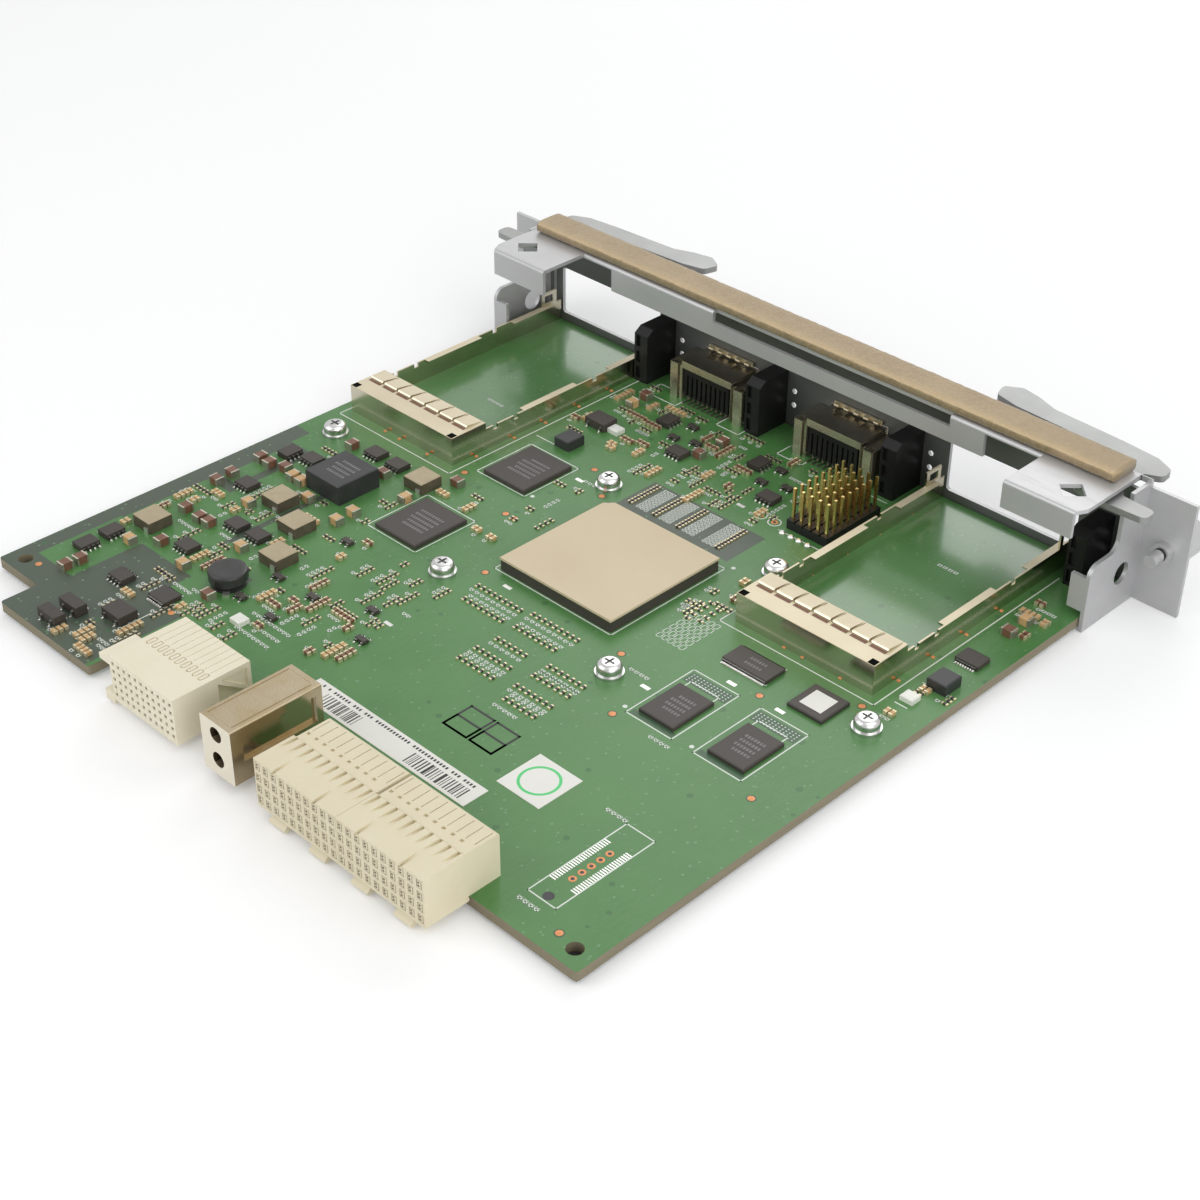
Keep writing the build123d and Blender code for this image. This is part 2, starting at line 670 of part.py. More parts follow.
# Transceiver bay: folded tray with inturned lips, guide loops and a rear cover with spring fingers
bay_half = bay_width / 2
lip_runs = ((4.0, 19.5), (31.5, 50.5))
finger_pitch = (bay_width - 4.0) / bay_finger_count
tray_depth = bay_rear - bay_depth_start
lip_middle = bay_half - bay_lip / 2
wall_notches = (25.5, 53.5, 60.5)
wall_top = board_top + bay_wall_height
for side, bay_x in zip(("left", "right"), bay_centres):
    bay_name = side + "_transceiver_bay"
    with BuildPart() as transceiver_bay:
        with BuildSketch(Plane.XY.offset(board_top)):
            with Locations((bay_x, (bay_depth_start + bay_rear) / 2)):
                Rectangle(bay_width, bay_rear - bay_depth_start)
            with Locations((bay_x, (bay_depth_start + bay_rear - bay_gauge) / 2 - 1)):
                Rectangle(bay_width - 2 * bay_gauge, tray_depth - bay_gauge + 2, mode=Mode.SUBTRACT)
        extrude(amount=bay_wall_height)
        cover_y = bay_rear - bay_cover_depth / 2
        with BuildSketch(Plane.XY.offset(board_top + bay_wall_height)):
            with Locations((bay_x, cover_y)):
                Rectangle(bay_width, bay_cover_depth)
            with Locations((bay_x, cover_y - bay_gauge / 2)):
                Rectangle(bay_width - 2 * bay_gauge, bay_cover_depth - bay_gauge, mode=Mode.SUBTRACT)
        extrude(amount=bay_cover_height - bay_wall_height)
        with BuildSketch(Plane.XY.offset(board_top + bay_cover_height - bay_gauge)):
            with Locations((bay_x, cover_y)):
                Rectangle(bay_width, bay_cover_depth)
            for finger in range(bay_finger_count):
                finger_x = bay_x + (finger - (bay_finger_count - 1) / 2) * finger_pitch
                finger_y = bay_rear - bay_cover_depth + bay_finger_depth
                with Locations((finger_x, finger_y + 1.6)):
                    Rectangle(bay_finger_width, 1.2, mode=Mode.SUBTRACT)
                with Locations((finger_x + bay_finger_width / 2, finger_y)):
                    Rectangle(0.7, 3.4, mode=Mode.SUBTRACT)
        extrude(amount=bay_gauge)
        with BuildSketch(Plane.XY.offset(board_top + bay_wall_height - bay_gauge)):
            for run_start, run_end in lip_runs:
                for wall_side in (-1, 1):
                    with Locations((bay_x + wall_side * lip_middle, (run_start + run_end) / 2)):
                        Rectangle(bay_lip, run_end - run_start)
        extrude(amount=bay_gauge)
        for wall_side in (-1, 1):
            with BuildSketch(Plane.YZ.offset(bay_x + wall_side * bay_half)):
                with Locations((5.0, board_top + bay_wall_height + 1.8)):
                    Rectangle(5.6, 4.2)
                    Rectangle(3.2, 2.4, mode=Mode.SUBTRACT)
            extrude(amount=-wall_side * bay_gauge)
        with BuildSketch(Plane.YZ.offset(bay_x - bay_half)):
            with Locations(*[(notch, wall_top) for notch in wall_notches]):
                Rectangle(1.4, 2.4)
        extrude(amount=bay_width, mode=Mode.SUBTRACT)
    transceiver_bay.part.label = bay_name
    export_step(transceiver_bay.part, "parts/" + bay_name + ".step")

    receptacle_name = side + "_transceiver_socket"
    receptacle_y = bay_rear - bay_gauge - 0.6 - receptacle_depth / 2
    with BuildPart() as transceiver_socket:
        with BuildSketch(Plane.XY.offset(board_top)):
            with Locations((bay_x, receptacle_y)):
                Rectangle(receptacle_width, receptacle_depth)
        extrude(amount=receptacle_height)
        with BuildSketch(Plane.XZ.offset(-receptacle_y + receptacle_depth / 2)):
            with Locations((bay_x, board_top + 3.1)):
                Rectangle(receptacle_width - 3.0, 2.0)
        extrude(amount=-5.5, mode=Mode.SUBTRACT)
    transceiver_socket.part.label = receptacle_name
    export_step(transceiver_socket.part, "parts/" + receptacle_name + ".step")

# Copper cable port: metal shell with two ears, black insulator with a tongue, and rear contacts
ear_offset = port_width / 2 - port_ear_width / 2
ear_middle = port_rear / 2 + 0.2
shell_inside = port_width - 2 * port_ear_width
for number, port_x in enumerate(port_centres, start=1):
    shell_name = "cable_port_shell_" + str(number)
    with BuildPart() as port_shell:
        with BuildSketch(Plane.XY.offset(board_top)):
            with Locations((port_x - ear_offset, ear_middle), (port_x + ear_offset, ear_middle)):
                Rectangle(port_ear_width, port_rear - 0.4)
        extrude(amount=port_top - board_top - 1.2)
        fillet(port_shell.edges().filter_by(Axis.Z).group_by(Axis.Y)[-1], radius=port_post_round)
        with BuildSketch(Plane.XZ.offset(-port_rear + 3.2)):
            with Locations((port_x, (board_top + port_top) / 2)):
                Rectangle(shell_inside + 0.4, port_top - board_top)
                Rectangle(shell_inside - 1.2, port_top - board_top - 2 * port_shell_wall, mode=Mode.SUBTRACT)
        extrude(amount=port_rear - 3.2 - port_front)
        with BuildSketch(Plane.XY.offset(port_top - port_shell_wall)):
            with Locations((port_x, port_rear - 3.2 + port_hood_depth / 2)):
                Rectangle(shell_inside + 0.4, port_hood_depth)
        extrude(amount=port_shell_wall)
        with BuildSketch(Plane.XY.offset(port_top - port_hood_drop)):
            with Locations((port_x, port_rear - 3.2 + port_hood_depth - port_hood_lip / 2)):
                Rectangle(shell_inside + 0.4, port_hood_lip)
        extrude(amount=port_hood_drop)
        with BuildSketch(Plane.XY.offset(port_top)):
            with Locations((port_x, port_rear / 4)):
                with GridLocations(shell_inside / 2, 0, 2, 1):
                    Rectangle(port_window_width, port_window_depth)
        extrude(amount=-port_shell_wall, mode=Mode.SUBTRACT)
        with BuildSketch(Plane.XZ.offset(port_post_wall - port_rear)):
            with Locations((port_x - ear_offset, 8.0), (port_x + ear_offset, 8.0)):
                Circle(port_screw_radius)
        extrude(amount=port_rear - port_post_wall, mode=Mode.SUBTRACT)
        slot_offset = shell_inside / 2 + 0.5 + port_slot_width / 2
        with BuildSketch(Plane.XY.offset(board_top)):
            with Locations((port_x, port_rear - port_slot_depth / 2)):
                with GridLocations(2 * slot_offset, 0, 2, 1):
                    Rectangle(port_slot_width, port_slot_depth)
        extrude(amount=port_top, mode=Mode.SUBTRACT)
        pocket_offset = (slot_offset + port_slot_width / 2 + port_width / 2) / 2
        with BuildSketch(Plane.XY.offset(port_top - 1.2)):
            with Locations((port_x, port_rear - 1.6)):
                with GridLocations(2 * pocket_offset, 0, 2, 1):
                    Rectangle(port_pocket_width, port_pocket_depth)
        extrude(amount=-port_pocket_depth, mode=Mode.SUBTRACT)
    port_shell.part.label = shell_name
    export_step(port_shell.part, "parts/" + shell_name + ".step")

    insulator_name = "cable_port_insulator_" + str(number)
    insulator_width = shell_inside - 1.2 - 0.1
    insulator_height = port_top - board_top - 2 * port_shell_wall - 0.1
    with BuildPart() as port_insulator:
        with BuildSketch(Plane.XZ.offset(-7.2)):
            with Locations((port_x, (board_top + port_top) / 2)):
                Rectangle(insulator_width, insulator_height)
        extrude(amount=3.2)
        with BuildSketch(Plane.XZ.offset(-4.0)):
            with Locations((port_x, (board_top + port_top) / 2)):
                Rectangle(insulator_width - 3.0, port_tongue)
        extrude(amount=4.2)
        comb_middle = 7.2 + port_comb_depth / 2
        with BuildSketch(Plane.XY.offset(port_comb_bottom)):
            with Locations((port_x, comb_middle)):
                with GridLocations(port_contact_pitch, 0, port_contact_count + 1, 1):
                    Rectangle(port_comb_rib, port_comb_depth)
        extrude(amount=port_comb_top - port_comb_bottom)
        with BuildSketch(Plane.XY.offset(port_comb_top - 1.4)):
            with Locations((port_x, comb_middle)):
                Rectangle(port_contact_count * port_contact_pitch + port_comb_rib, port_comb_depth)
        extrude(amount=1.4)
    port_insulator.part.label = insulator_name
    export_step(port_insulator.part, "parts/" + insulator_name + ".step")

    contact_name = "cable_port_contacts_" + str(number)
    with BuildPart() as port_contacts:
        for contact in range(port_contact_count):
            contact_x = port_x + (contact - (port_contact_count - 1) / 2) * port_contact_pitch
            with BuildSketch(Plane.YZ.offset(contact_x - 0.25)):
                with BuildLine():
                    Polyline(
                        (7.2, 9.6),
                        (9.3, 9.6),
                        (9.3, board_top + 0.4),
                        (11.6, board_top + 0.4),
                        (11.6, board_top),
                        (8.9, board_top),
                        (8.9, 9.2),
                        (7.2, 9.2),
                        close=True,
                    )
                make_face()
            extrude(amount=0.5)
    port_contacts.part.label = contact_name
    export_step(port_contacts.part, "parts/" + contact_name + ".step")

# Black lamp blocks behind the panel, one beside each port
for number, block_x in enumerate(lamp_block_centres, start=1):
    block_name = "lamp_block_" + str(number)
    with BuildPart() as lamp_block:
        with BuildSketch(Plane.YZ.offset(block_x - lamp_block_width / 2)):
            with BuildLine():
                Polyline(
                    (0, board_top),
                    (lamp_block_depth, board_top),
                    (lamp_block_depth, lamp_block_height - 1.5),
                    (lamp_block_depth - 2.2, lamp_block_height),
                    (0, lamp_block_height),
                    close=True,
                )
            make_face()
        extrude(amount=lamp_block_width)
        with BuildSketch(Plane.XZ.offset(-lamp_block_depth)):
            with GridLocations(0, 4.6, 1, 3):
                with Locations((block_x + 0.9, 9.6)):
                    Rectangle(1.4, 3.2)
        extrude(amount=0.7, mode=Mode.SUBTRACT)
    lamp_block.part.label = block_name
    export_step(lamp_block.part, "parts/" + block_name + ".step")

# Signal connector: five rows of eleven contacts, a keying rail and a hook under the board edge
signal_width = signal_columns * signal_pitch + 2 * signal_wall
signal_middle = signal_left + signal_width / 2
with BuildPart() as signal_connector:
    with BuildSketch(Plane.YZ.offset(signal_left)):
        with BuildLine():
            Polyline(
                (signal_rear, board_top),
                (board_depth + edge_gap, board_top),
                (board_depth + edge_gap, signal_bottom),
                (signal_front, signal_bottom),
                (signal_front, signal_top),
                (signal_rear, signal_top),
                close=True,
            )
        make_face()
    extrude(amount=signal_width)
    row_middle = signal_first_row + (signal_rows - 1) * signal_pitch / 2
    with BuildSketch(Plane.XZ.offset(-signal_front)):
        with Locations((signal_middle, row_middle)):
            with GridLocations(signal_pitch, signal_pitch, signal_columns, signal_rows):
                Rectangle(signal_hole, signal_hole)
    extrude(amount=3.0, mode=Mode.SUBTRACT)
    with BuildSketch(Plane.XY.offset(signal_top)):
        with Locations((signal_middle, signal_rear + 10.2)):
            with GridLocations(signal_pitch, 0, signal_columns - 1, 1):
                RectangleRounded(1.3, 2.8, 0.6)
                Rectangle(0.7, 2.2, mode=Mode.SUBTRACT)
    extrude(amount=-0.5, mode=Mode.SUBTRACT)
    with BuildSketch(Plane.XY.offset(signal_top)):
        with Locations((signal_middle, signal_rear + signal_wafer_depth / 2)):
            with GridLocations(signal_pitch, 0, signal_columns - 1, 1):
                Rectangle(0.15, signal_wafer_depth)
    extrude(amount=-0.3, mode=Mode.SUBTRACT)
    with BuildSketch(Plane.YZ.offset(signal_left + signal_width)):
        with Locations((signal_front - 4.6, 10.6)):
            Rectangle(9.2, 1.4)
    extrude(amount=3.6)
    with BuildSketch(Plane.YZ.offset(signal_left + signal_width)):
        with Locations((signal_front - 1.4, signal_bottom)):
            Rectangle(2.8, 2.6)
    extrude(amount=3.2)
    with BuildSketch(Plane.YZ.offset(signal_left)):
        with BuildLine():
            Polyline(
                (signal_rear + 1.0, board_top),
                (signal_rear + signal_wafer_depth, board_top),
                (signal_rear + signal_wafer_depth, signal_top - 1.8),
                (signal_rear + 1.0, board_top + 3.2),
                close=True,
            )
        make_face()
    extrude(amount=1.6, mode=Mode.SUBTRACT)
    with BuildSketch(Plane.YZ.offset(signal_left)):
        with BuildLine():
            Polyline(
                (signal_rear + 1.0, board_top + 4.2),
                (signal_rear + signal_wafer_depth - 1.0, signal_top - 1.2),
                (signal_rear + 1.0, signal_top - 1.2),
                close=True,
            )
        make_face()
    extrude(amount=0.5, mode=Mode.SUBTRACT)
signal_connector.part.label = "signal_connector"
export_step(signal_connector.part, "parts/signal_connector.step")

# Die-cast guide block with two guide bores
guide_middle = guide_left + guide_width / 2
with BuildPart() as guide_block:
    with BuildSketch(Plane.YZ.offset(guide_left)):
        with BuildLine():
            Polyline(
                (guide_rear, board_top),
                (board_depth + edge_gap, board_top),
                (board_depth + edge_gap, guide_bottom),
                (guide_front, guide_bottom),
                (guide_front, guide_top),
                (guide_rear, guide_top),
                close=True,
            )
        make_face()
    extrude(amount=guide_width)
    fillet(guide_block.edges().filter_by(Axis.Y), radius=0.4)
    for face_x, direction in ((guide_left, 1), (guide_left + guide_width, -1)):
        with BuildSketch(Plane.YZ.offset(face_x)):
            with Locations(((guide_rear + guide_front) / 2 - 0.6, 9.6)):
                Rectangle(guide_front - guide_rear - 4.4, 6.4)
        extrude(amount=direction * 0.9, mode=Mode.SUBTRACT)
    with BuildSketch(Plane.XY.offset(guide_top)):
        with Locations((guide_middle, (guide_rear + guide_front) / 2)):
            Rectangle(guide_width - 2.2, guide_front - guide_rear - 2.4)
            Rectangle(guide_width - 2.8, guide_front - guide_rear - 3.0, mode=Mode.SUBTRACT)
    extrude(amount=-0.15, mode=Mode.SUBTRACT)
    with BuildSketch(Plane.XZ.offset(-guide_front)):
        with Locations(*[(guide_middle, z) for z in guide_bore_heights]):
            Circle(guide_bore_radius)
    extrude(amount=guide_bore_depth, mode=Mode.SUBTRACT)
guide_block.part.label = "guide_block"
export_step(guide_block.part, "parts/guide_block.step")

# Pair connectors: two housings of ten wafers, each with four shielded pairs and hooks below
column_pitch = pair_width / pair_columns
row_pitch = (pair_top - pair_bottom - 0.6) / pair_rows
for number in (1, 2):
    pair_name = "pair_connector_" + str(number)
    pair_start = pair_left + (number - 1) * pair_width + pair_gap / 2
    pair_middle = pair_start + (pair_width - pair_gap) / 2
    with BuildPart() as pair_connector:
        with BuildSketch(Plane.YZ.offset(pair_start)):
            with BuildLine():
                Polyline(
                    (pair_rear, board_top),
                    (board_depth + edge_gap, board_top),
                    (board_depth + edge_gap, pair_bottom),
                    (pair_front, pair_bottom),
                    (pair_front, pair_top),
                    (pair_rear + 9.2, pair_top),
                    (pair_rear + 8.6, pair_top - 0.4),
                    (pair_rear + 0.4, pair_top - 0.4),
                    (pair_rear, pair_top - 0.8),
                    close=True,
                )
            make_face()
        extrude(amount=pair_width - pair_gap)
        with BuildSketch(Plane.XZ.offset(-pair_front)):
            with Locations((pair_middle, (pair_top + pair_bottom) / 2)):
                with GridLocations(column_pitch, row_pitch, pair_columns, pair_rows):
                    with Locations((0.1, 0.1)):
                        Rectangle(1.5, 2.0)
                        Rectangle(1.0, 1.6, mode=Mode.SUBTRACT)
        extrude(amount=0.9, mode=Mode.SUBTRACT)
        with BuildSketch(Plane.XY.offset(pair_top - 0.4)):
            with Locations((pair_middle, pair_rear + 3.2)):
                with GridLocations(column_pitch, 0, pair_columns, 1):
                    Rectangle(0.22, 4.6)
            with Locations((pair_middle + column_pitch / 2, pair_rear + 6.4)):
                with GridLocations(column_pitch, 0, pair_columns - 1, 1):
                    Rectangle(0.9, 0.7)
        extrude(amount=-0.5, mode=Mode.SUBTRACT)
        wedge_rear = pair_rear + wafer_depth
        column_planes = []
        for column in range(pair_columns):
            column_x = pair_middle + (column - (pair_columns - 1) / 2) * column_pitch
            column_planes.append(Plane.YZ.offset(column_x - wedge_width / 2))
        with BuildSketch(*column_planes):
            with BuildLine():
                Polyline(
                    (wedge_rear, pair_top + 0.2),
                    (wedge_rear, pair_top - wedge_drop),
                    (wedge_rear + wedge_length, pair_top),
                    (wedge_rear + wedge_length, pair_top + 0.2),
                    close=True,
                )
            make_face()
        extrude(amount=wedge_width, mode=Mode.SUBTRACT)
        hook_starts = [pair_middle + side * hook_offset - wedge_width / 2 for side in (-1, 1)]
        hook_planes = [Plane.YZ.offset(start) for start in hook_starts]
        with BuildSketch(*hook_planes):
            with BuildLine():
                Polyline(
                    (pair_front, pair_top + 0.2),
                    (pair_front, pair_top - wedge_drop),
                    (pair_front - wedge_length, pair_top),
                    (pair_front - wedge_length, pair_top + 0.2),
                    close=True,
                )
            make_face()
        extrude(amount=wedge_width, mode=Mode.SUBTRACT)
        with BuildSketch(Plane.XY.offset(board_top)):
            with Locations((pair_middle, pair_rear + wafer_depth / 2)):
                with GridLocations(pair_width - pair_gap - wafer_recess, 0, 2, 1):
                    Rectangle(wafer_recess, wafer_depth)
        extrude(amount=pair_top, mode=Mode.SUBTRACT)
        for hook_x in (-hook_offset, hook_offset):
            with BuildSketch(Plane.YZ.offset(pair_middle + hook_x - 2.4)):
                with BuildLine():
                    Polyline(
                        (pair_front - 6.0, pair_bottom),
                        (pair_front - 1.2, pair_bottom),
                        (pair_front + 0.6, pair_bottom - hook_drop + 0.6),
                        (pair_front + 0.2, pair_bottom - hook_drop),
                        (pair_front - 5.0, pair_bottom - hook_drop),
                        close=True,
                    )
                make_face()
            extrude(amount=4.8)
    pair_connector.part.label = pair_name
    export_step(pair_connector.part, "parts/" + pair_name + ".step")


def block_on_board(size, places):
    """Make one chamfered block that stands on the board and set a copy at each (x, y, turn) place."""
    width, depth, height = size
    with BuildPart() as block:
        with BuildSketch(Plane.XY.offset(board_top)):
            Rectangle(width, depth)
        extrude(amount=height)
        chamfer(block.faces().sort_by(Axis.Z)[-1].edges(), length=min(block_edge, height / 4))
    return Compound([block.part.solid().moved(Location((x, y, 0), turn)) for x, y, turn in places])


# Switch chip and the pale spreader plate on it
chip_x, chip_y = switch_chip_place
with BuildPart() as switch_chip:
    with BuildSketch(Plane.XY.offset(board_top)):
        with Locations(switch_chip_place):
            Rectangle(switch_chip_side, switch_chip_side)
    extrude(amount=switch_chip_body)
    fillet(switch_chip.edges().filter_by(Axis.Z), radius=0.5)
switch_chip.part.label = "switch_chip"
export_step(switch_chip.part, "parts/switch_chip.step")

with BuildPart() as heat_spreader:
    with BuildSketch(Plane.XY.offset(board_top + switch_chip_body)) as spreader_shape:
        with Locations(switch_chip_place):
            Rectangle(switch_chip_side, switch_chip_side)
        far_corner = spreader_shape.vertices().sort_by(Axis.X)[-2:].sort_by(Axis.Y)[0]
        chamfer(far_corner, length=spreader_chamfer)
    extrude(amount=spreader_thickness)
heat_spreader.part.label = "heat_spreader"
export_step(heat_spreader.part, "parts/heat_spreader.step")

# Flat packages
for number, (place_x, place_y) in enumerate(interface_chip_places, start=1):
    chip_name = "interface_chip_" + str(number)
    interface_chip = block_on_board(interface_chip_size, [(place_x, place_y, 0)])
    interface_chip.label = chip_name
    export_step(interface_chip, "parts/" + chip_name + ".step")
for number, (place_x, place_y) in enumerate(memory_chip_places, start=1):
    chip_name = "memory_chip_" + str(number)
    memory_chip = block_on_board(memory_chip_size, [(place_x, place_y, 0)])
    memory_chip.label = chip_name
    export_step(memory_chip, "parts/" + chip_name + ".step")
boot_chip = block_on_board((boot_chip_side, boot_chip_side, boot_chip_height), [(*boot_chip_place, 0)])
boot_chip.label = "boot_chip"
export_step(boot_chip, "parts/boot_chip.step")
power_module = block_on_board(power_module_size, [(*power_module_place, 0)])
power_module.label = "power_module"
export_step(power_module, "parts/power_module.step")
shielded_inductors = block_on_board((inductor_side, inductor_side, inductor_height), inductor_places)
shielded_inductors.label = "shielded_inductors"
export_step(shielded_inductors, "parts/shielded_inductors.step")
chokes = block_on_board(choke_size, choke_places)
chokes.label = "chokes"
export_step(chokes, "parts/chokes.step")
capacitors = block_on_board(capacitor_size, capacitor_places)
capacitors.label = "capacitors"
export_step(capacitors, "parts/capacitors.step")
lamps = block_on_board(lamp_size, lamp_places)
lamps.label = "board_lamps"
export_step(lamps, "parts/board_lamps.step")


def leaded_chips(size, places, rows, pitch):
    """Make one package with bent leads along both long sides, then set copies of it on the board."""
    width, depth, height = size
    lead_level = height * 0.45
    with BuildPart() as chip:
        with BuildSketch(Plane.XY.offset(board_top + lead_thickness / 2)):
            Rectangle(width, depth)
        extrude(amount=height - lead_thickness / 2)
        with BuildSketch(Plane.XY.offset(board_top + lead_level)):
            with GridLocations(pitch, 0, rows, 1):
                Rectangle(lead_width, depth + lead_reach)
        extrude(amount=lead_thickness)
        with BuildSketch(Plane.XY.offset(board_top)):
            with GridLocations(pitch, depth + lead_reach, rows, 2):
                Rectangle(lead_width, lead_thickness)
        extrude(amount=lead_level + lead_thickness)
        with BuildSketch(Plane.XY.offset(board_top)):
            with GridLocations(pitch, depth + 1.5 * lead_reach, rows, 2):
                Rectangle(lead_width, lead_reach / 2)
        extrude(amount=lead_thickness)
    return Compound([chip.part.solid().moved(Location((x, y, 0), turn)) for x, y, turn in places])


outline_chips = leaded_chips(outline_chip_size, outline_chip_places, outline_lead_rows, outline_lead_pitch)
outline_chips.label = "outline_chips"
export_step(outline_chips, "parts/outline_chips.step")
wide_chips = leaded_chips(wide_chip_size, wide_chip_places, wide_lead_rows, wide_lead_pitch)
wide_chips.label = "wide_chips"
export_step(wide_chips, "parts/wide_chips.step")
buffer_chip = leaded_chips(buffer_chip_size, [buffer_chip_place], buffer_lead_rows, buffer_lead_pitch)
buffer_chip.label = "buffer_chip"
export_step(buffer_chip, "parts/buffer_chip.step")
flat_transistors = leaded_chips(power_transistor_size, power_transistor_places, 2, power_lead_pitch)
rectifiers = leaded_chips(rectifier_size, rectifier_places, 2, rectifier_lead_pitch)
power_transistors = Compound(flat_transistors.solids() + rectifiers.solids())
power_transistors.label = "power_transistors"
export_step(power_transistors, "parts/power_transistors.step")
transistors = leaded_chips(transistor_size, transistor_places, 2, transistor_lead_pitch)
transistors.label = "small_transistors"
export_step(transistors, "parts/small_transistors.step")

# Drum inductor
with BuildPart() as drum_inductor:
    with BuildSketch(Plane.XY.offset(board_top)):
        with Locations(round_inductor_place):
            RectangleRounded(2 * round_inductor_radius, 2 * round_inductor_radius, 2.6)
    extrude(amount=0.8)
    with BuildSketch(Plane.XY.offset(board_top + 0.8)):
        with Locations(round_inductor_place):
            Circle(round_inductor_radius - 0.5)
    extrude(amount=round_inductor_height - 0.8)
    fillet(drum_inductor.faces().sort_by(Axis.Z)[-1].edges(), radius=0.5)
drum_inductor.part.label = "drum_inductor"
export_step(drum_inductor.part, "parts/drum_inductor.step")

# Pin header: moulded base with square pins through it
header_size_x = header_columns * header_pitch
header_size_y = header_rows * header_pitch
with BuildPart() as header_base:
    with BuildSketch(Plane.XY.offset(board_top)):
        with Locations(header_middle):
            Rectangle(header_size_x - 0.4, header_size_y - 0.4)
            with GridLocations(header_pitch, header_pitch, header_columns, header_rows):
                Rectangle(header_pin_side, header_pin_side, mode=Mode.SUBTRACT)
    extrude(amount=header_base_height)
    with BuildSketch(Plane.XY.offset(board_top + header_base_height)):
        with Locations(header_middle):
            with GridLocations(header_pitch, 0, header_columns - 1, 1):
                Rectangle(0.5, header_size_y)
    extrude(amount=-0.6, mode=Mode.SUBTRACT)
header_base.part.label = "header_base"
export_step(header_base.part, "parts/header_base.step")

with BuildPart() as header_pins:
    with BuildSketch(Plane.XY.offset(board_top)):
        with Locations(header_middle):
            with GridLocations(header_pitch, header_pitch, header_columns, header_rows):
                Rectangle(header_pin_side, header_pin_side)
    extrude(amount=header_pin_top)
header_pins.part.label = "header_pins"
export_step(header_pins.part, "parts/header_pins.step")

# Pan-head screws and their washers
with BuildPart() as board_screws:
    for place in screw_places:
        with BuildSketch(Plane.XY):
            with Locations(place):
                Circle(pan_shank_radius)
        extrude(amount=board_top + washer_thickness)
        with BuildSketch(Plane.XY.offset(board_top + washer_thickness)):
            with Locations(place):
                Circle(pan_head_radius)
        extrude(amount=pan_head_height)
    fillet(board_screws.faces().group_by(Axis.Z)[-1].edges(), radius=pan_head_round)
    with BuildSketch(Plane.XY.offset(board_top + washer_thickness + pan_head_height)):
        with Locations(*screw_places):
            Rectangle(2.8, 0.6)
            Rectangle(0.6, 2.8)
    extrude(amount=-1.1, mode=Mode.SUBTRACT)
board_screws.part.label = "board_screws"
export_step(board_screws.part, "parts/board_screws.step")

with BuildPart() as screw_washers:
    with BuildSketch(Plane.XY.offset(board_top)):
        with Locations(*screw_places):
            Circle(washer_radius)
            Circle(pan_shank_radius + 0.05, mode=Mode.SUBTRACT)
    extrude(amount=washer_thickness)
screw_washers.part.label = "screw_washers"
export_step(screw_washers.part, "parts/screw_washers.step")

# Paper label and square sticker
with BuildPart() as board_label:
    with BuildSketch(Plane.XY.offset(board_top)):
        with Locations(label_place):
            Rectangle(*label_size)
    extrude(amount=paper_thickness)
board_label.part.label = "board_label"
export_step(board_label.part, "parts/board_label.step")

with BuildPart() as square_sticker:
    with BuildSketch(Plane.XY.offset(board_top)):
        with Locations(sticker_place):
            Rectangle(sticker_side, sticker_side)
    extrude(amount=paper_thickness)
square_sticker.part.label = "square_sticker"
export_step(square_sticker.part, "parts/square_sticker.step")
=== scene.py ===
import json

import bpy
import numpy as np
from mathutils import Matrix, Vector


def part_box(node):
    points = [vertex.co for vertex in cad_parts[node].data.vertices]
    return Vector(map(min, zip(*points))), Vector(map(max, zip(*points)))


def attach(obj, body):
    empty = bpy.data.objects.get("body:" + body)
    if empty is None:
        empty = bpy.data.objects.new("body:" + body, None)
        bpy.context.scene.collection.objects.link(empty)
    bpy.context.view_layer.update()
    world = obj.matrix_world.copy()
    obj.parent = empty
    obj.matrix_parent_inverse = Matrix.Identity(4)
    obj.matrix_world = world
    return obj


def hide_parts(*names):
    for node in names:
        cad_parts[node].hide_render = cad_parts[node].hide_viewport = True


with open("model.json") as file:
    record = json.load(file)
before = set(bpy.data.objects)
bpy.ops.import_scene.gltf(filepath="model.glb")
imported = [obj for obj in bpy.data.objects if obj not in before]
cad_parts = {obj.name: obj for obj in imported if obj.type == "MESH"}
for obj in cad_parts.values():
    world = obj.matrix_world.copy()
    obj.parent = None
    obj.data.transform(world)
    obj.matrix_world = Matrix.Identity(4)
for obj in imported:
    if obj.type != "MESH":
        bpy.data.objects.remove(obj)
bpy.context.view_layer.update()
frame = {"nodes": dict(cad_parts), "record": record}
print("frame loaded:", len(frame["nodes"]), "nodes")

mm = 0.001
rng = np.random.default_rng(41)


def addToScene(name, data):
    item = bpy.data.objects.new(name, data)
    bpy.context.scene.collection.objects.link(item)
    return item


# node helpers: an input that is a number is set, any other is linked
def addNode(tree, kind, **values):
    node = tree.nodes.new(kind)
    for key, value in values.items():
        setattr(node, key, value)
    return node


# a group takes a vector and the given inputs, whose kind follows from the size of their default value
def newGroup(name, inputs, outputs):
    group = bpy.data.node_groups.new(name, "ShaderNodeTree")
    group.interface.new_socket("Vector", in_out="INPUT", socket_type="NodeSocketVector")
    for socketName, default in inputs.items():
        kind = {1: "NodeSocketFloat", 3: "NodeSocketVector", 4: "NodeSocketColor"}[np.size(default)]
        group.interface.new_socket(socketName, in_out="INPUT", socket_type=kind).default_value = default
    for socketName in outputs:
        kind = "NodeSocketColor" if socketName == "Color" else "NodeSocketFloat"
        group.interface.new_socket(socketName, in_out="OUTPUT", socket_type=kind)
    start = addNode(group, "NodeGroupInput")
    end = addNode(group, "NodeGroupOutput")
    return group, start, end


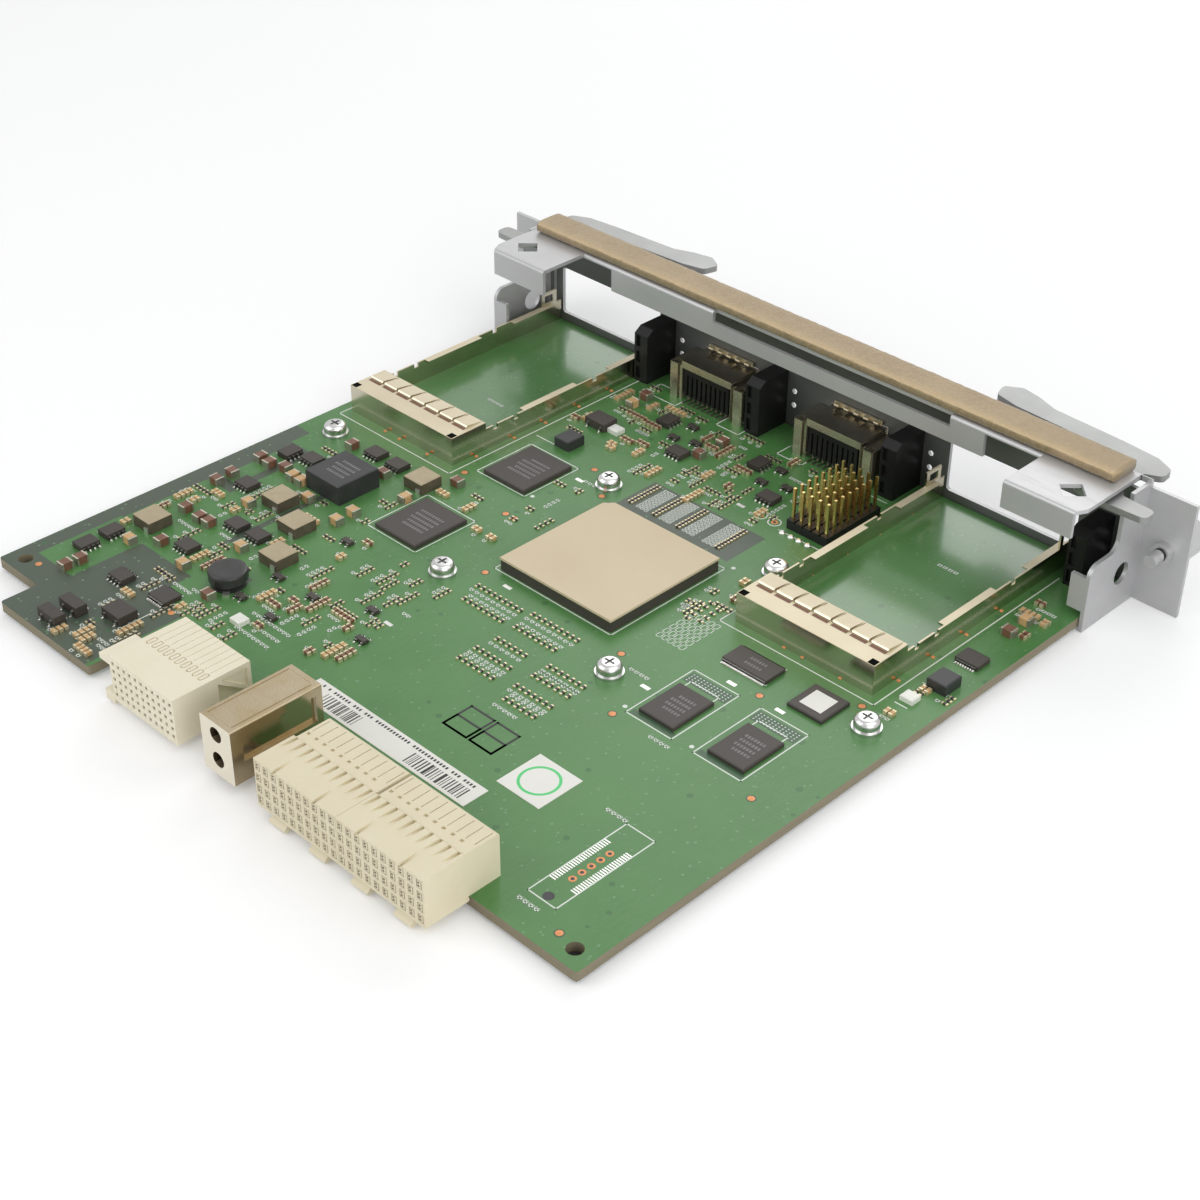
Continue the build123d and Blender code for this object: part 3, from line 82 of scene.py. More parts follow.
def mathNode(tree, operation, first, second=None, third=None, clamp=False):
    node = addNode(tree, "ShaderNodeMath", operation=operation, use_clamp=clamp)
    for slotIndex, value in enumerate((first, second, third)):
        if value is None:
            continue
        if isinstance(value, (int, float)):
            node.inputs[slotIndex].default_value = value
        else:
            tree.links.new(value, node.inputs[slotIndex])
    return node.outputs[0]


def mixColour(tree, amount, first, second):
    node = addNode(tree, "ShaderNodeMix", data_type="RGBA")
    for socket, value in ((node.inputs[0], amount), (node.inputs[6], first), (node.inputs[7], second)):
        if isinstance(value, (int, float)):
            socket.default_value = value
        elif isinstance(value, tuple):
            socket.default_value = (*value, 1.0)
        else:
            tree.links.new(value, socket)
    return node.outputs[2]


def vectorMath(tree, operation, first, second):
    node = addNode(tree, "ShaderNodeVectorMath", operation=operation)
    tree.links.new(first, node.inputs[0])
    tree.links.new(second, node.inputs[1])
    return node.outputs[0]


def splitParts(tree, vector):
    node = addNode(tree, "ShaderNodeSeparateXYZ")
    tree.links.new(vector, node.inputs[0])
    return node.outputs


# sets each named socket to a constant or links it to an output
def fillSockets(tree, node, values):
    for key, value in values.items():
        if isinstance(value, (int, float, tuple)):
            node.inputs[key].default_value = value
        else:
            tree.links.new(value, node.inputs[key])


def texture(tree, kind, vector, settings=None, **values):
    node = addNode(tree, "ShaderNodeTex" + kind, **(settings or {}))
    fillSockets(tree, node, {"Vector": vector, **values})
    return node


def mapping(tree, vector, **values):
    node = addNode(tree, "ShaderNodeMapping")
    fillSockets(tree, node, {"Vector": vector, **values})
    return node.outputs["Vector"]


# ramp: 0 below the low value, 1 above the high value, straight between them
def rampNode(tree, value, low, high):
    node = addNode(tree, "ShaderNodeMapRange")
    fillSockets(tree, node, {"Value": value, "From Min": low, "From Max": high})
    return node.outputs["Result"]


def newMaterial(name):
    material = bpy.data.materials.new(name)
    material.use_nodes = True
    tree = material.node_tree
    coords = addNode(tree, "ShaderNodeTexCoord")
    normal = splitParts(tree, coords.outputs["Normal"])
    return material, tree, tree.nodes["Principled BSDF"], coords.outputs["Object"], normal


def setBump(tree, shader, height, strength, distance):
    bump = addNode(tree, "ShaderNodeBump")
    fillSockets(tree, bump, {"Height": height, "Strength": strength, "Distance": distance})
    tree.links.new(bump.outputs["Normal"], shader.inputs["Normal"])


# colour drift: base colour pulled towards a second colour by soft cloud noise
def buildDriftGroup():
    group, start, end = newGroup("colourDrift",
        {"Base": (0.5, 0.5, 0.5, 1.0), "Drift": (0.4, 0.4, 0.4, 1.0), "Scale": 40.0, "Amount": 0.5},
        ("Color", "Mask"))
    noise = texture(group, "Noise", start.outputs["Vector"], Detail=4.0, Roughness=0.6,
        Scale=start.outputs["Scale"])
    amount = mathNode(group, "MULTIPLY", rampNode(group, noise.outputs["Fac"], 0.32, 0.68),
        start.outputs["Amount"])
    mixed = mixColour(group, amount, start.outputs["Base"], start.outputs["Drift"])
    group.links.new(mixed, end.inputs["Color"])
    group.links.new(amount, end.inputs["Mask"])
    return group


# fine grain: two octaves of noise added together, for moulded or cast surfaces
def buildGrainGroup():
    group, start, end = newGroup("fineGrain", {"Scale": 900.0, "Coarse": 0.3}, ("Height",))
    lowScale = mathNode(group, "MULTIPLY", start.outputs["Scale"], 0.13)
    fine = texture(group, "Noise", start.outputs["Vector"], Detail=2.0, Scale=start.outputs["Scale"])
    coarse = texture(group, "Noise", start.outputs["Vector"], Detail=3.0, Scale=lowScale)
    weighted = mathNode(group, "MULTIPLY", coarse.outputs["Fac"], start.outputs["Coarse"])
    total = mathNode(group, "ADD", fine.outputs["Fac"], weighted)
    group.links.new(total, end.inputs["Height"])
    return group


# scratches: noise stretched hard along one direction, thresholded to thin streaks
def buildStreakGroup():
    group, start, end = newGroup("rolledStreaks", {"Along": (1.0, 12.0, 12.0), "Scale": 90.0},
        ("Height", "Mask"))
    stretch = vectorMath(group, "MULTIPLY", start.outputs["Vector"], start.outputs["Along"])
    noise = texture(group, "Noise", stretch, Detail=5.0, Scale=start.outputs["Scale"])
    group.links.new(noise.outputs["Fac"], end.inputs["Height"])
    group.links.new(rampNode(group, noise.outputs["Fac"], 0.55, 0.72), end.inputs["Mask"])
    return group


# box mask: 1 inside an upright rectangle of x and y, falling to 0 over a soft rim
def buildBoxMaskGroup():
    group, start, end = newGroup("boxMask", {
        "Low": (0.0, 0.0, 0.0), "High": (0.01, 0.01, 0.0), "Soft": 0.0002}, ("Mask",))
    fromLow = vectorMath(group, "SUBTRACT", start.outputs["Vector"], start.outputs["Low"])
    toHigh = vectorMath(group, "SUBTRACT", start.outputs["High"], start.outputs["Vector"])
    split = splitParts(group, vectorMath(group, "MINIMUM", fromLow, toHigh))
    least = mathNode(group, "MINIMUM", split[0], split[1])
    level = mathNode(group, "DIVIDE", least, start.outputs["Soft"], clamp=True)
    group.links.new(level, end.inputs["Mask"])
    return group


driftGroup = buildDriftGroup()
grainGroup = buildGrainGroup()
streakGroup = buildStreakGroup()
boxMaskGroup = buildBoxMaskGroup()


def placeGroup(tree, group, vector, **values):
    node = addNode(tree, "ShaderNodeGroup", node_tree=group)
    tree.links.new(vector, node.inputs["Vector"])
    for key, value in values.items():
        socket = node.inputs[key]
        socket.default_value = (*value, 1.0) if socket.type == "RGBA" else value
    return node


# mask of several upright boxes in mm, each low and high x y: the greatest of their masks
def boxesMask(tree, vector, boxes):
    total = None
    for low, high in boxes:
        corners = {"Low": (low[0] * mm, low[1] * mm, 0), "High": (high[0] * mm, high[1] * mm, 0)}
        mask = placeGroup(tree, boxMaskGroup, vector, **corners).outputs["Mask"]
        total = mask if total is None else mathNode(tree, "MAXIMUM", total, mask)
    return total


# plain finish: drifting base colour, grain relief, and by choice rolled streaks and a painted shade on the
# inner face
finishDefaults = {"driftScale": 60.0, "driftAmount": 0.6, "grainScale": 1500.0, "coarse": 0.4,
    "roughDrift": 0.12, "streakScale": 90.0, "streakRough": 0.15, "metallic": 0.0, "coat": 0.0,
    "specular": 0.5, "bump": 0.25, "bumpDistance": 0.00004, "facing": 0.8}


def buildFinish(name, look):
    material, tree, shader, vector, normal = newMaterial(name)
    drift = placeGroup(tree, driftGroup, vector, Base=look["colour"], Drift=look["drift"],
        Scale=look["driftScale"], Amount=look["driftAmount"])
    colour = drift.outputs["Color"]
    if "shade" in look:
        # painted shade on the inner face: faces turned to the rear, inside the box between the two flanges,
        # take the shade colour
        inner = placeGroup(tree, boxMaskGroup, vector, Low=look["shadeLow"],
            High=look["shadeHigh"]).outputs["Mask"]
        turned = mathNode(tree, "GREATER_THAN", normal[1], look["facing"])
        colour = mixColour(tree, mathNode(tree, "MULTIPLY", inner, turned), colour, look["shade"])
    grain = placeGroup(tree, grainGroup, vector, Scale=look["grainScale"], Coarse=look["coarse"])
    height = grain.outputs["Height"]
    roughness = mathNode(tree, "MULTIPLY_ADD", drift.outputs["Mask"], look["roughDrift"], look["roughness"])
    if "streaks" in look:
        streaks = placeGroup(tree, streakGroup, vector, Along=look["streaks"], Scale=look["streakScale"])
        height = mathNode(tree, "ADD", height, streaks.outputs["Height"])
        roughness = mathNode(tree, "MULTIPLY_ADD", streaks.outputs["Mask"], look["streakRough"], roughness)
    fillSockets(tree, shader,
        {"Base Color": colour, "Roughness": roughness, "Metallic": look["metallic"],
            "Coat Weight": look["coat"], "Specular IOR Level": look["specular"]})
    setBump(tree, shader, height, look["bump"], look["bumpDistance"])
    return material


# one row per finish: colour, the colour it drifts to, roughness, then what differs from finishDefaults
def finishRow(colour, drift, roughness, **others):
    return {**finishDefaults, "colour": colour, "drift": drift, "roughness": roughness, **others}


finishes = {
    # plated steel's shade colour is painted shade on the rear-facing inner face of the panel, inside the
    # shade box
    "plated_steel": finishRow((0.55, 0.55, 0.555), (0.46, 0.46, 0.465), 0.36, driftScale=45.0, metallic=0.45,
        streaks=(1.0, 14.0, 14.0), bump=0.12, shade=(0.16, 0.165, 0.16), shadeLow=(-0.0935, -0.002, 0.0),
        shadeHigh=(0.0935, 0.003, 0.0215)),
    "lever_steel": finishRow((0.35, 0.355, 0.345), (0.28, 0.285, 0.28), 0.34, driftScale=60.0, metallic=0.6,
        bump=0.15),
    "bright_steel": finishRow((0.72, 0.72, 0.71), (0.55, 0.55, 0.54), 0.2, driftScale=200.0, metallic=1.0,
        bump=0.1),
    "spring_steel": finishRow((0.5, 0.5, 0.48), (0.35, 0.35, 0.34), 0.3, metallic=1.0),
    "knob_metal": finishRow((0.66, 0.66, 0.66), (0.55, 0.55, 0.55), 0.3, driftScale=150.0, metallic=0.9,
        bump=0.15),
    "gold_plated": finishRow((0.78, 0.58, 0.25), (0.62, 0.44, 0.18), 0.3, metallic=1.0),
    "gold_contact": finishRow((0.86, 0.64, 0.26), (0.70, 0.50, 0.20), 0.24, driftScale=300.0, metallic=1.0),
    "black_plastic": finishRow((0.010, 0.010, 0.010), (0.018, 0.018, 0.018), 0.32, specular=0.3),
    "ivory_plastic": finishRow((0.86, 0.80, 0.63), (0.78, 0.70, 0.51), 0.5, driftScale=120.0,
        driftAmount=0.35),
    "cream_plastic": finishRow((0.78, 0.71, 0.52), (0.70, 0.61, 0.42), 0.5, driftScale=120.0,
        driftAmount=0.4),
    "beige_lid": finishRow((0.68, 0.57, 0.39), (0.62, 0.51, 0.34), 0.5, driftScale=55.0, driftAmount=0.5,
        grainScale=2600.0, bump=0.12),
    "chip_black": finishRow((0.044, 0.037, 0.032), (0.070, 0.058, 0.048), 0.46, driftScale=90.0,
        grainScale=3200.0, bump=0.35),
    "ferrite_black": finishRow((0.025, 0.025, 0.027), (0.05, 0.05, 0.052), 0.38, driftScale=140.0,
        grainScale=2200.0, bump=0.3),
    "capacitor_ceramic": finishRow((0.40, 0.24, 0.12), (0.30, 0.17, 0.08), 0.35, driftScale=400.0),
    "lamp_white": finishRow((0.86, 0.86, 0.80), (0.74, 0.74, 0.66), 0.22, driftScale=500.0, coat=0.4),
    "header_plastic": finishRow((0.012, 0.012, 0.012), (0.025, 0.025, 0.025), 0.4, specular=0.3),
    "label_paper": finishRow((0.86, 0.85, 0.80), (0.80, 0.79, 0.73), 0.6, driftScale=90.0, grainScale=3000.0,
        bump=0.2),
    "insulating_film": finishRow((0.03, 0.03, 0.03), (0.05, 0.05, 0.05), 0.4),
}
materials = {name: buildFinish(name, look) for name, look in finishes.items()}
print("plain finishes:", len(materials))


# circuit board laminate, places in mm as low and high x y
boardLook = {
    "green": (0.058, 0.190, 0.044),
    "greenPale": (0.108, 0.262, 0.086),
    "smudge": (0.040, 0.135, 0.042),
    "smudgeScale": 150.0,
    "pour": (0.070, 0.088, 0.066),
    "edge": (0.30, 0.26, 0.17),
    "track": (0.115, 0.235, 0.092),
    "via": (0.16, 0.30, 0.15),
    "viaScale": 420.0,
    "trackScale": 900.0,
    "trackWidth": 0.09,
    "trackWeight": 0.2,
    "viaRadius": 0.13,
    "viaWeight": 0.8,
    "pourWeight": 0.94,
    "smudgeLeast": 0.55,
    "smudgeRadius": 0.12,
    "smudgeWeight": 0.7,
    "edgeDark": (0.16, 0.14, 0.09),
    "roughDrift": 0.12,
    "filmRoughness": 0.14,
    "filmIndex": 1.7,
    "edgeRough": 0.3,
    "roughness": 0.30,
    "pourBoxes": [
        ((45.5, 160.5), (94.6, 187.0)),
        ((57.0, 150.0), (94.6, 187.0)),
        ((89.0, 90.0), (94.6, 187.0)),
        ((80.0, 96.0), (94.6, 122.0)),
        ((46.0, 141.0), (60.0, 146.0)),
        ((62.0, 94.0), (64.0, 150.0)),
        ((-24.6, 45.0), (11.4, 59.0)),
    ],
    "filmBoxes": [((-83.0, 2.0), (-44.0, 64.0)), ((44.0, 2.0), (83.0, 64.0))],
    "filmCoat": 0.7,
    "patchBoxes": [
        ((76.5, 146.5), (90.0, 169.5)),
        ((62.0, 138.0), (88.0, 149.0)),
        ((82.5, 98.5), (88.0, 118.5)),
    ],
}


def buildBoardMaterial(look):
    material, tree, shader, vector, normal = newMaterial("board_laminate")
    drift = placeGroup(tree, driftGroup, vector, Base=look["green"], Drift=look["greenPale"], Scale=26.0,
        Amount=0.75)
    # tracks under the mask: stepped bands of a cell pattern stretched along y
    stretch = mapping(tree, vector, Scale=(1.0, 0.16, 1.0), Rotation=(0.0, 0.0, 0.35))
    cells = texture(tree, "Voronoi", stretch, {"distance": "CHEBYCHEV", "feature": "DISTANCE_TO_EDGE"},
        Scale=look["trackScale"])
    tracks = mathNode(tree, "LESS_THAN", cells.outputs["Distance"], look["trackWidth"])
    # vias: small dots at random cell centres
    dots = texture(tree, "Voronoi", vector, Scale=look["viaScale"])
    vias = mathNode(tree, "LESS_THAN", dots.outputs["Distance"], look["viaRadius"])
    colour = mixColour(tree, mathNode(tree, "MULTIPLY", tracks, look["trackWeight"]), drift.outputs["Color"],
        look["track"])
    # copper pours read darker through the mask
    pourMask = boxesMask(tree, vector, look["pourBoxes"])
    for box in look["patchBoxes"]:
        pourMask = mathNode(tree, "SUBTRACT", pourMask, boxesMask(tree, vector, [box]), clamp=True)
    colour = mixColour(tree, mathNode(tree, "MULTIPLY", pourMask, look["pourWeight"]), colour, look["pour"])
    # filled holes under the mask: darker spots at some cell centres
    spots = texture(tree, "Voronoi", vector, Scale=look["smudgeScale"])
    spotColour = splitParts(tree, spots.outputs["Color"])
    chosen = mathNode(tree, "GREATER_THAN", spotColour[0], look["smudgeLeast"])
    smudges = mathNode(tree, "MULTIPLY",
        mathNode(tree, "LESS_THAN", spots.outputs["Distance"], look["smudgeRadius"]), chosen)
    colour = mixColour(tree, mathNode(tree, "MULTIPLY", smudges, look["smudgeWeight"]), colour,
        look["smudge"])
    colour = mixColour(tree, mathNode(tree, "MULTIPLY", vias, look["viaWeight"]), colour, look["via"])
    # bare laminate on the cut edges, where the surface faces sideways
    sideways = mathNode(tree, "LESS_THAN", mathNode(tree, "ABSOLUTE", normal[2]), 0.5)
    layers = texture(tree, "Noise", mapping(tree, vector, Scale=(1.0, 1.0, 60.0)), Scale=60.0)
    edgeColour = mixColour(tree, layers.outputs["Fac"], look["edge"], look["edgeDark"])
    colour = mixColour(tree, sideways, colour, edgeColour)
    roughness = mathNode(tree, "MULTIPLY_ADD", drift.outputs["Mask"], look["roughDrift"], look["roughness"])
    roughness = mathNode(tree, "MULTIPLY_ADD", sideways, look["edgeRough"], roughness)
    relief = mathNode(tree, "ADD", mathNode(tree, "MULTIPLY", tracks, 0.5),
        mathNode(tree, "MULTIPLY", vias, -1.0))
    setBump(tree, shader, relief, 0.4, 0.00003)
    # clear film over the board inside both bays: a coat that mirrors what stands around it
    film = boxesMask(tree, vector, look["filmBoxes"])
    fillSockets(tree, shader,
        {"Base Color": colour, "Roughness": roughness, "Specular IOR Level": 0.5,
            "Coat Roughness": look["filmRoughness"],
            "Coat Weight": mathNode(tree, "MULTIPLY", film, look["filmCoat"]), "Coat IOR": look["filmIndex"]})
    return material


materials["board_laminate"] = buildBoardMaterial(boardLook)


# gasket cloth: two crossed waves multiplied give the weave, painted highlights lie on its threads and on the
# cells whose random value is high, and a painted highlight on the rear top edge is the normal's rear part
# times its upward part
def buildGasketMaterial(look):
    material, tree, shader, vector, normal = newMaterial("conductive_gasket")
    threads = []
    for direction in ("X", "Y"):
        wave = texture(tree, "Wave", vector, {"wave_type": "BANDS", "bands_direction": direction},
            Scale=look["threadScale"], Distortion=1.2)
        wave.inputs["Detail Scale"].default_value = 3.0
        threads.append(wave.outputs["Fac"])
    weave = mathNode(tree, "MULTIPLY", threads[0], threads[1])
    drift = placeGroup(tree, driftGroup, vector, Base=look["colour"], Drift=look["drift"], Scale=90.0,
        Amount=0.7)
    colour = mixColour(tree, mathNode(tree, "MULTIPLY", weave, look["threadWeight"]), drift.outputs["Color"],
        look["highlight"])
    fillSockets(tree, shader,
        {"Metallic": look["metallic"], "Roughness": look["roughness"], "Sheen Weight": look["sheen"]})
    # painted glints: bright cells of a fine voronoi; relief: weave plus fine and broad creases
    glintCells = texture(tree, "Voronoi", vector, Scale=look["glintScale"])
    glintCellColour = splitParts(tree, glintCells.outputs["Color"])
    glintMask = mathNode(tree, "GREATER_THAN", glintCellColour[1], look["glintLeast"])
    sparkle = mixColour(tree, mathNode(tree, "MULTIPLY", glintMask, look["glintWeight"]), colour,
        look["highlight"])
    # painted highlight on the rear top edge: faces turned both up and to the rear take the gold highlight
    upAndBack = mathNode(tree, "MULTIPLY", mathNode(tree, "MAXIMUM", normal[1], 0.0),
        mathNode(tree, "MAXIMUM", normal[2], 0.0))
    edgeHighlight = mathNode(tree, "MULTIPLY", upAndBack, look["edgeHighlightWeight"], clamp=True)
    sparkle = mixColour(tree, edgeHighlight, sparkle, look["highlight"])
    tree.links.new(sparkle, shader.inputs["Base Color"])
    creases = placeGroup(tree, grainGroup, vector, Scale=look["creaseScale"], Coarse=1.0)
    folds = placeGroup(tree, grainGroup, vector, Scale=look["foldScale"], Coarse=1.0)
    relief = mathNode(tree, "MULTIPLY_ADD", weave, 0.5, creases.outputs["Height"])
    relief = mathNode(tree, "MULTIPLY_ADD", folds.outputs["Height"], look["foldDepth"], relief)
    setBump(tree, shader, relief, 0.8, 0.0003)
    return material


# the fine bright cells are painted glints, and the rear top edge takes a painted highlight
gasketLook = {"colour": (0.29, 0.205, 0.105), "drift": (0.39, 0.285, 0.155), "highlight": (0.62, 0.48, 0.29),
    "threadScale": 900.0, "metallic": 0.55, "roughness": 0.42, "sheen": 0.3, "threadWeight": 0.5,
    "glintScale": 3600.0, "glintLeast": 0.72, "glintWeight": 0.22, "edgeHighlightWeight": 1.5, "creaseScale": 620.0,
    "foldScale": 150.0, "foldDepth": 0.7}
materials["conductive_gasket"] = buildGasketMaterial(gasketLook)


# cast nickel: cell distance gives a crinkle on the upper faces only, and faces turned to the rear are painted
# light, pale and less metallic
def buildCastMaterial(look):
    material, tree, shader, vector, normal = newMaterial("cast_nickel")
    topFace = mathNode(tree, "GREATER_THAN", normal[2], look["facing"])
    crinkle = texture(tree, "Voronoi", vector, {"feature": "SMOOTH_F1"}, Scale=look["crinkleScale"])
    drift = placeGroup(tree, driftGroup, vector, Base=look["colour"], Drift=look["drift"], Scale=130.0,
        Amount=0.7)
    # painted light: faces turned to the rear take the pale rear colour, with a lower metallic
    litRearFace = mathNode(tree, "GREATER_THAN", normal[1], look["facing"])
    tree.links.new(mixColour(tree, litRearFace, drift.outputs["Color"], look["rear"]),
        shader.inputs["Base Color"])
    tree.links.new(
        mathNode(tree, "MULTIPLY_ADD", litRearFace, look["rearMetallic"] - look["metallic"], look["metallic"]),
        shader.inputs["Metallic"])
    tree.links.new(
        mathNode(tree, "MULTIPLY_ADD", mathNode(tree, "MAXIMUM", topFace, litRearFace), look["castRough"],
            look["roughness"]), shader.inputs["Roughness"])
    relief = mathNode(tree, "MULTIPLY", crinkle.outputs["Distance"], topFace)
    setBump(tree, shader, relief, 0.35, 0.0001)
    return material


# rear is a painted light colour, standing for the lit rear faces
castLook = {"rear": (0.86, 0.80, 0.66), "colour": (0.44, 0.35, 0.21), "drift": (0.50, 0.44, 0.33),
    "crinkleScale": 2600.0, "facing": 0.7, "metallic": 0.95, "rearMetallic": 0.35, "roughness": 0.14,
    "castRough": 0.26}
materials["cast_nickel"] = buildCastMaterial(castLook)


# finishes whose upper faces differ from their sides: a mask of the upright part of the normal mixes two
# colours, and moves roughness and metallic from the side value to the top value; on the port shell the dark
# top is painted shade
def buildTwoTone(name, look):
    material, tree, shader, vector, normal = newMaterial(name)
    upward = mathNode(tree, "GREATER_THAN", normal[2], 0.6)
    sides = placeGroup(tree, driftGroup, vector, Base=look["side"], Drift=look["sideDrift"],
        Scale=look["scale"], Amount=0.6)
    top = placeGroup(tree, driftGroup, vector, Base=look["top"], Drift=look["topDrift"], Scale=look["scale"],
        Amount=0.6)
    tree.links.new(mixColour(tree, upward, sides.outputs["Color"], top.outputs["Color"]),
        shader.inputs["Base Color"])
    for socketName in ("Roughness", "Metallic"):
        low, high = look["side" + socketName], look["top" + socketName]
        tree.links.new(mathNode(tree, "MULTIPLY_ADD", upward, high - low, low), shader.inputs[socketName])
    grain = placeGroup(tree, grainGroup, vector, Scale=look["grainScale"], Coarse=0.5)
    setBump(tree, shader, grain.outputs["Height"], look["bump"], 0.00004)
    return material


twoTones = {
    "bay_plating": {"side": (0.66, 0.62, 0.49), "sideDrift": (0.50, 0.46, 0.34), "top": (0.72, 0.64, 0.46),
        "topDrift": (0.64, 0.55, 0.38), "scale": 90.0, "sideRoughness": 0.2, "topRoughness": 0.42,
        "sideMetallic": 1.0, "topMetallic": 0.25, "grainScale": 1400.0, "bump": 0.1},
    # port shell: the dark top colour is painted shade, where the flange and lip shade the top faces
    "port_shell": {"side": (0.60, 0.56, 0.43), "sideDrift": (0.40, 0.37, 0.27), "top": (0.17, 0.155, 0.125),
        "topDrift": (0.26, 0.24, 0.19), "scale": 140.0, "sideRoughness": 0.25, "topRoughness": 0.28,
        "sideMetallic": 0.85, "topMetallic": 0.9, "grainScale": 1500.0, "bump": 0.15},
    "inductor_tan": {"side": (0.085, 0.068, 0.045), "sideDrift": (0.16, 0.13, 0.09),
        "top": (0.47, 0.395, 0.26), "topDrift": (0.38, 0.31, 0.20), "scale": 420.0, "sideRoughness": 0.5,
        "topRoughness": 0.5, "sideMetallic": 0.1, "topMetallic": 0.1, "grainScale": 2400.0, "bump": 0.4},
}
materials.update({name: buildTwoTone(name, look) for name, look in twoTones.items()})
print("board, gasket, casting and two-tone finishes done")

slotOfNode = {row["node"]: row["material_slot"] for row in frame["record"]["subparts"]}
slotOfNode.update({side + "_screw_ferrule": "knob_metal" for side in ("left", "right")})
for nodeName, nodeObject in frame["nodes"].items():
    finish = materials[slotOfNode[nodeName]]
    if not nodeObject.data.materials:
        nodeObject.data.materials.append(finish)
    for index in range(len(nodeObject.material_slots)):
        nodeObject.material_slots[index].material = finish
print("CAD nodes dressed")


# small pieces on the board, in mm: worked out as whole arrays, then set into one mesh for each piece
boardTop = 2.4
# the drawing's places are counted from here: x along the rear edge, y towards the back
rearCorner = np.array([-94.6, 177.0])


def boxOf(nodeName):
    return [np.array(corner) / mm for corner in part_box(nodeName)]


# places of a row of the given count and pitch, either side of 0
def spread(count, pitch):
    return (np.arange(count) - (count - 1) / 2) * pitch


# places with the given x, all at one y
def rowAt(x, y):
    return np.column_stack([x, np.full(len(x), y)])


def fromCorner(places):
    return np.asarray(places, dtype=float)[:, :2] + rearCorner


def makePiece(name, shapes, finish, body="chassis", smooth=False):
    starts = np.cumsum([0] + [len(verts) for verts, faceSets in shapes[:-1]])
    verts = np.concatenate([verts for verts, faceSets in shapes]) * mm
    faces = sum(
        ((rows + start).tolist() for (points, faceSets), start in zip(shapes, starts) for rows in faceSets),
        [])
    mesh = bpy.data.meshes.new(name)
    mesh.from_pydata(verts.tolist(), [], faces)
    mesh.materials.append(materials[finish])
    mesh.polygons.foreach_set("use_smooth", np.full(len(faces), smooth))
    mesh.update()
    piece = addToScene(name, mesh)
    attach(piece, body)
    return piece


# layered solids: each copy is rings of points at rising heights, neighbouring rings are joined by four-sided
# faces, and the lowest and highest rings are closed by one face each
def layeredSolid(rings):
    count, levels, sides = rings.shape[:3]
    step = np.arange(sides)
    after = (step + 1) % sides
    level = np.arange(levels - 1)[:, None] * sides
    walls = np.stack([level + step, level + after, level + sides + after, level + sides + step],
        axis=-1).reshape(-1, 4)
    caps = np.stack([step[::-1], (levels - 1) * sides + step])
    shift = (np.arange(count) * levels * sides)[:, None, None]
    return rings.reshape(-1, 3), [(walls + shift).reshape(-1, 4), (caps + shift).reshape(-1, sides)]


# blocks: four corners at half the width and depth, raised to the height, the top ring drawn in by the bevel,
# then turned about the upright axis and moved to each place
def blocks(places, sizes, turns=0.0, base=boardTop, bevel=0.0):
    places = np.atleast_2d(np.asarray(places, dtype=float))
    count = len(places)
    sizes = np.broadcast_to(np.asarray(sizes, dtype=float), (count, 3))
    turns = np.radians(np.broadcast_to(np.asarray(turns, dtype=float), (count,)))[:, None]
    corner = np.array([(-0.5, -0.5), (0.5, -0.5), (0.5, 0.5), (-0.5, 0.5)])
    inset = np.array([0.0, 0.0, 1.0] if bevel > 0 else [0.0, 0.0]) * bevel
    height = np.stack([sizes[:, 2] * 0] + ([sizes[:, 2] - bevel] if bevel > 0 else []) + [sizes[:, 2]],
        axis=1)
    flat = sizes[:, None, None, :2] * corner - np.sign(corner) * inset[None, :, None, None]
    x = flat[..., 0] * np.cos(turns)[..., None] - flat[..., 1] * np.sin(turns)[..., None] + places[:, 0, None,
        None]
    y = flat[..., 0] * np.sin(turns)[..., None] + flat[..., 1] * np.cos(turns)[..., None] + places[:, 1, None,
        None]
    z = np.broadcast_to((height + np.broadcast_to(base, (count,))[:, None])[..., None], x.shape)
    return layeredSolid(np.stack([x, y, z], axis=-1))


# rounds: circles whose radius follows the given profile of (radius, height) pairs at each place
def rounds(places, profile, base=boardTop, sides=16):
    places = np.atleast_2d(np.asarray(places, dtype=float))
    profile = np.asarray(profile, dtype=float)
    angle = np.linspace(0, 2 * np.pi, sides, endpoint=False)
    x = profile[:, 0, None] * np.cos(angle) + places[:, 0, None, None]
    y = profile[:, 0, None] * np.sin(angle) + places[:, 1, None, None]
    z = np.broadcast_to(profile[:, 1, None] + base, x.shape)
    return layeredSolid(np.stack([x, y, z], axis=-1))


# flat rings: an outer and an inner circle at two heights, joined all round like a washer
def flatRings(places, inner, outer, height, base=boardTop, sides=32):
    places = np.atleast_2d(np.asarray(places, dtype=float))
    angle = np.linspace(0, 2 * np.pi, sides, endpoint=False)
    radius = np.array([inner, outer, outer, inner])
    level = np.array([0.0, 0.0, height, height]) + base
    x = radius[:, None] * np.cos(angle) + places[:, 0, None, None]
    y = radius[:, None] * np.sin(angle) + places[:, 1, None, None]
    rings = np.stack([x, y, np.broadcast_to(level[:, None], x.shape)], axis=-1)
    row = np.arange(4)[:, None] * sides
    nextRow = (np.arange(4)[:, None] + 1) % 4 * sides
    step = np.arange(sides)
    after = (step + 1) % sides
    walls = np.stack([row + step, row + after, nextRow + after, nextRow + step], axis=-1).reshape(-1, 4)
    shift = (np.arange(len(places)) * 4 * sides)[:, None, None]
    return rings.reshape(-1, 3), [(walls + shift).reshape(-1, 4)]


# strips: thin blocks along the runs between two corners, standing just above the mask
def strips(runs, width=0.3, height=0.035, base=boardTop):
    runs = np.asarray(runs, dtype=float)
    spans = np.abs(runs[:, 2:] - runs[:, :2]) + width
    return blocks(fromCorner((runs[:, :2] + runs[:, 2:]) / 2), rowAt(spans, height), base=base)


def rectangleRuns(rectangles):
    low = np.asarray(rectangles, dtype=float)
    return np.concatenate(
        [low[:, [0, 1, 2, 1]], low[:, [2, 1, 2, 3]], low[:, [0, 3, 2, 3]], low[:, [0, 1, 0, 3]]])


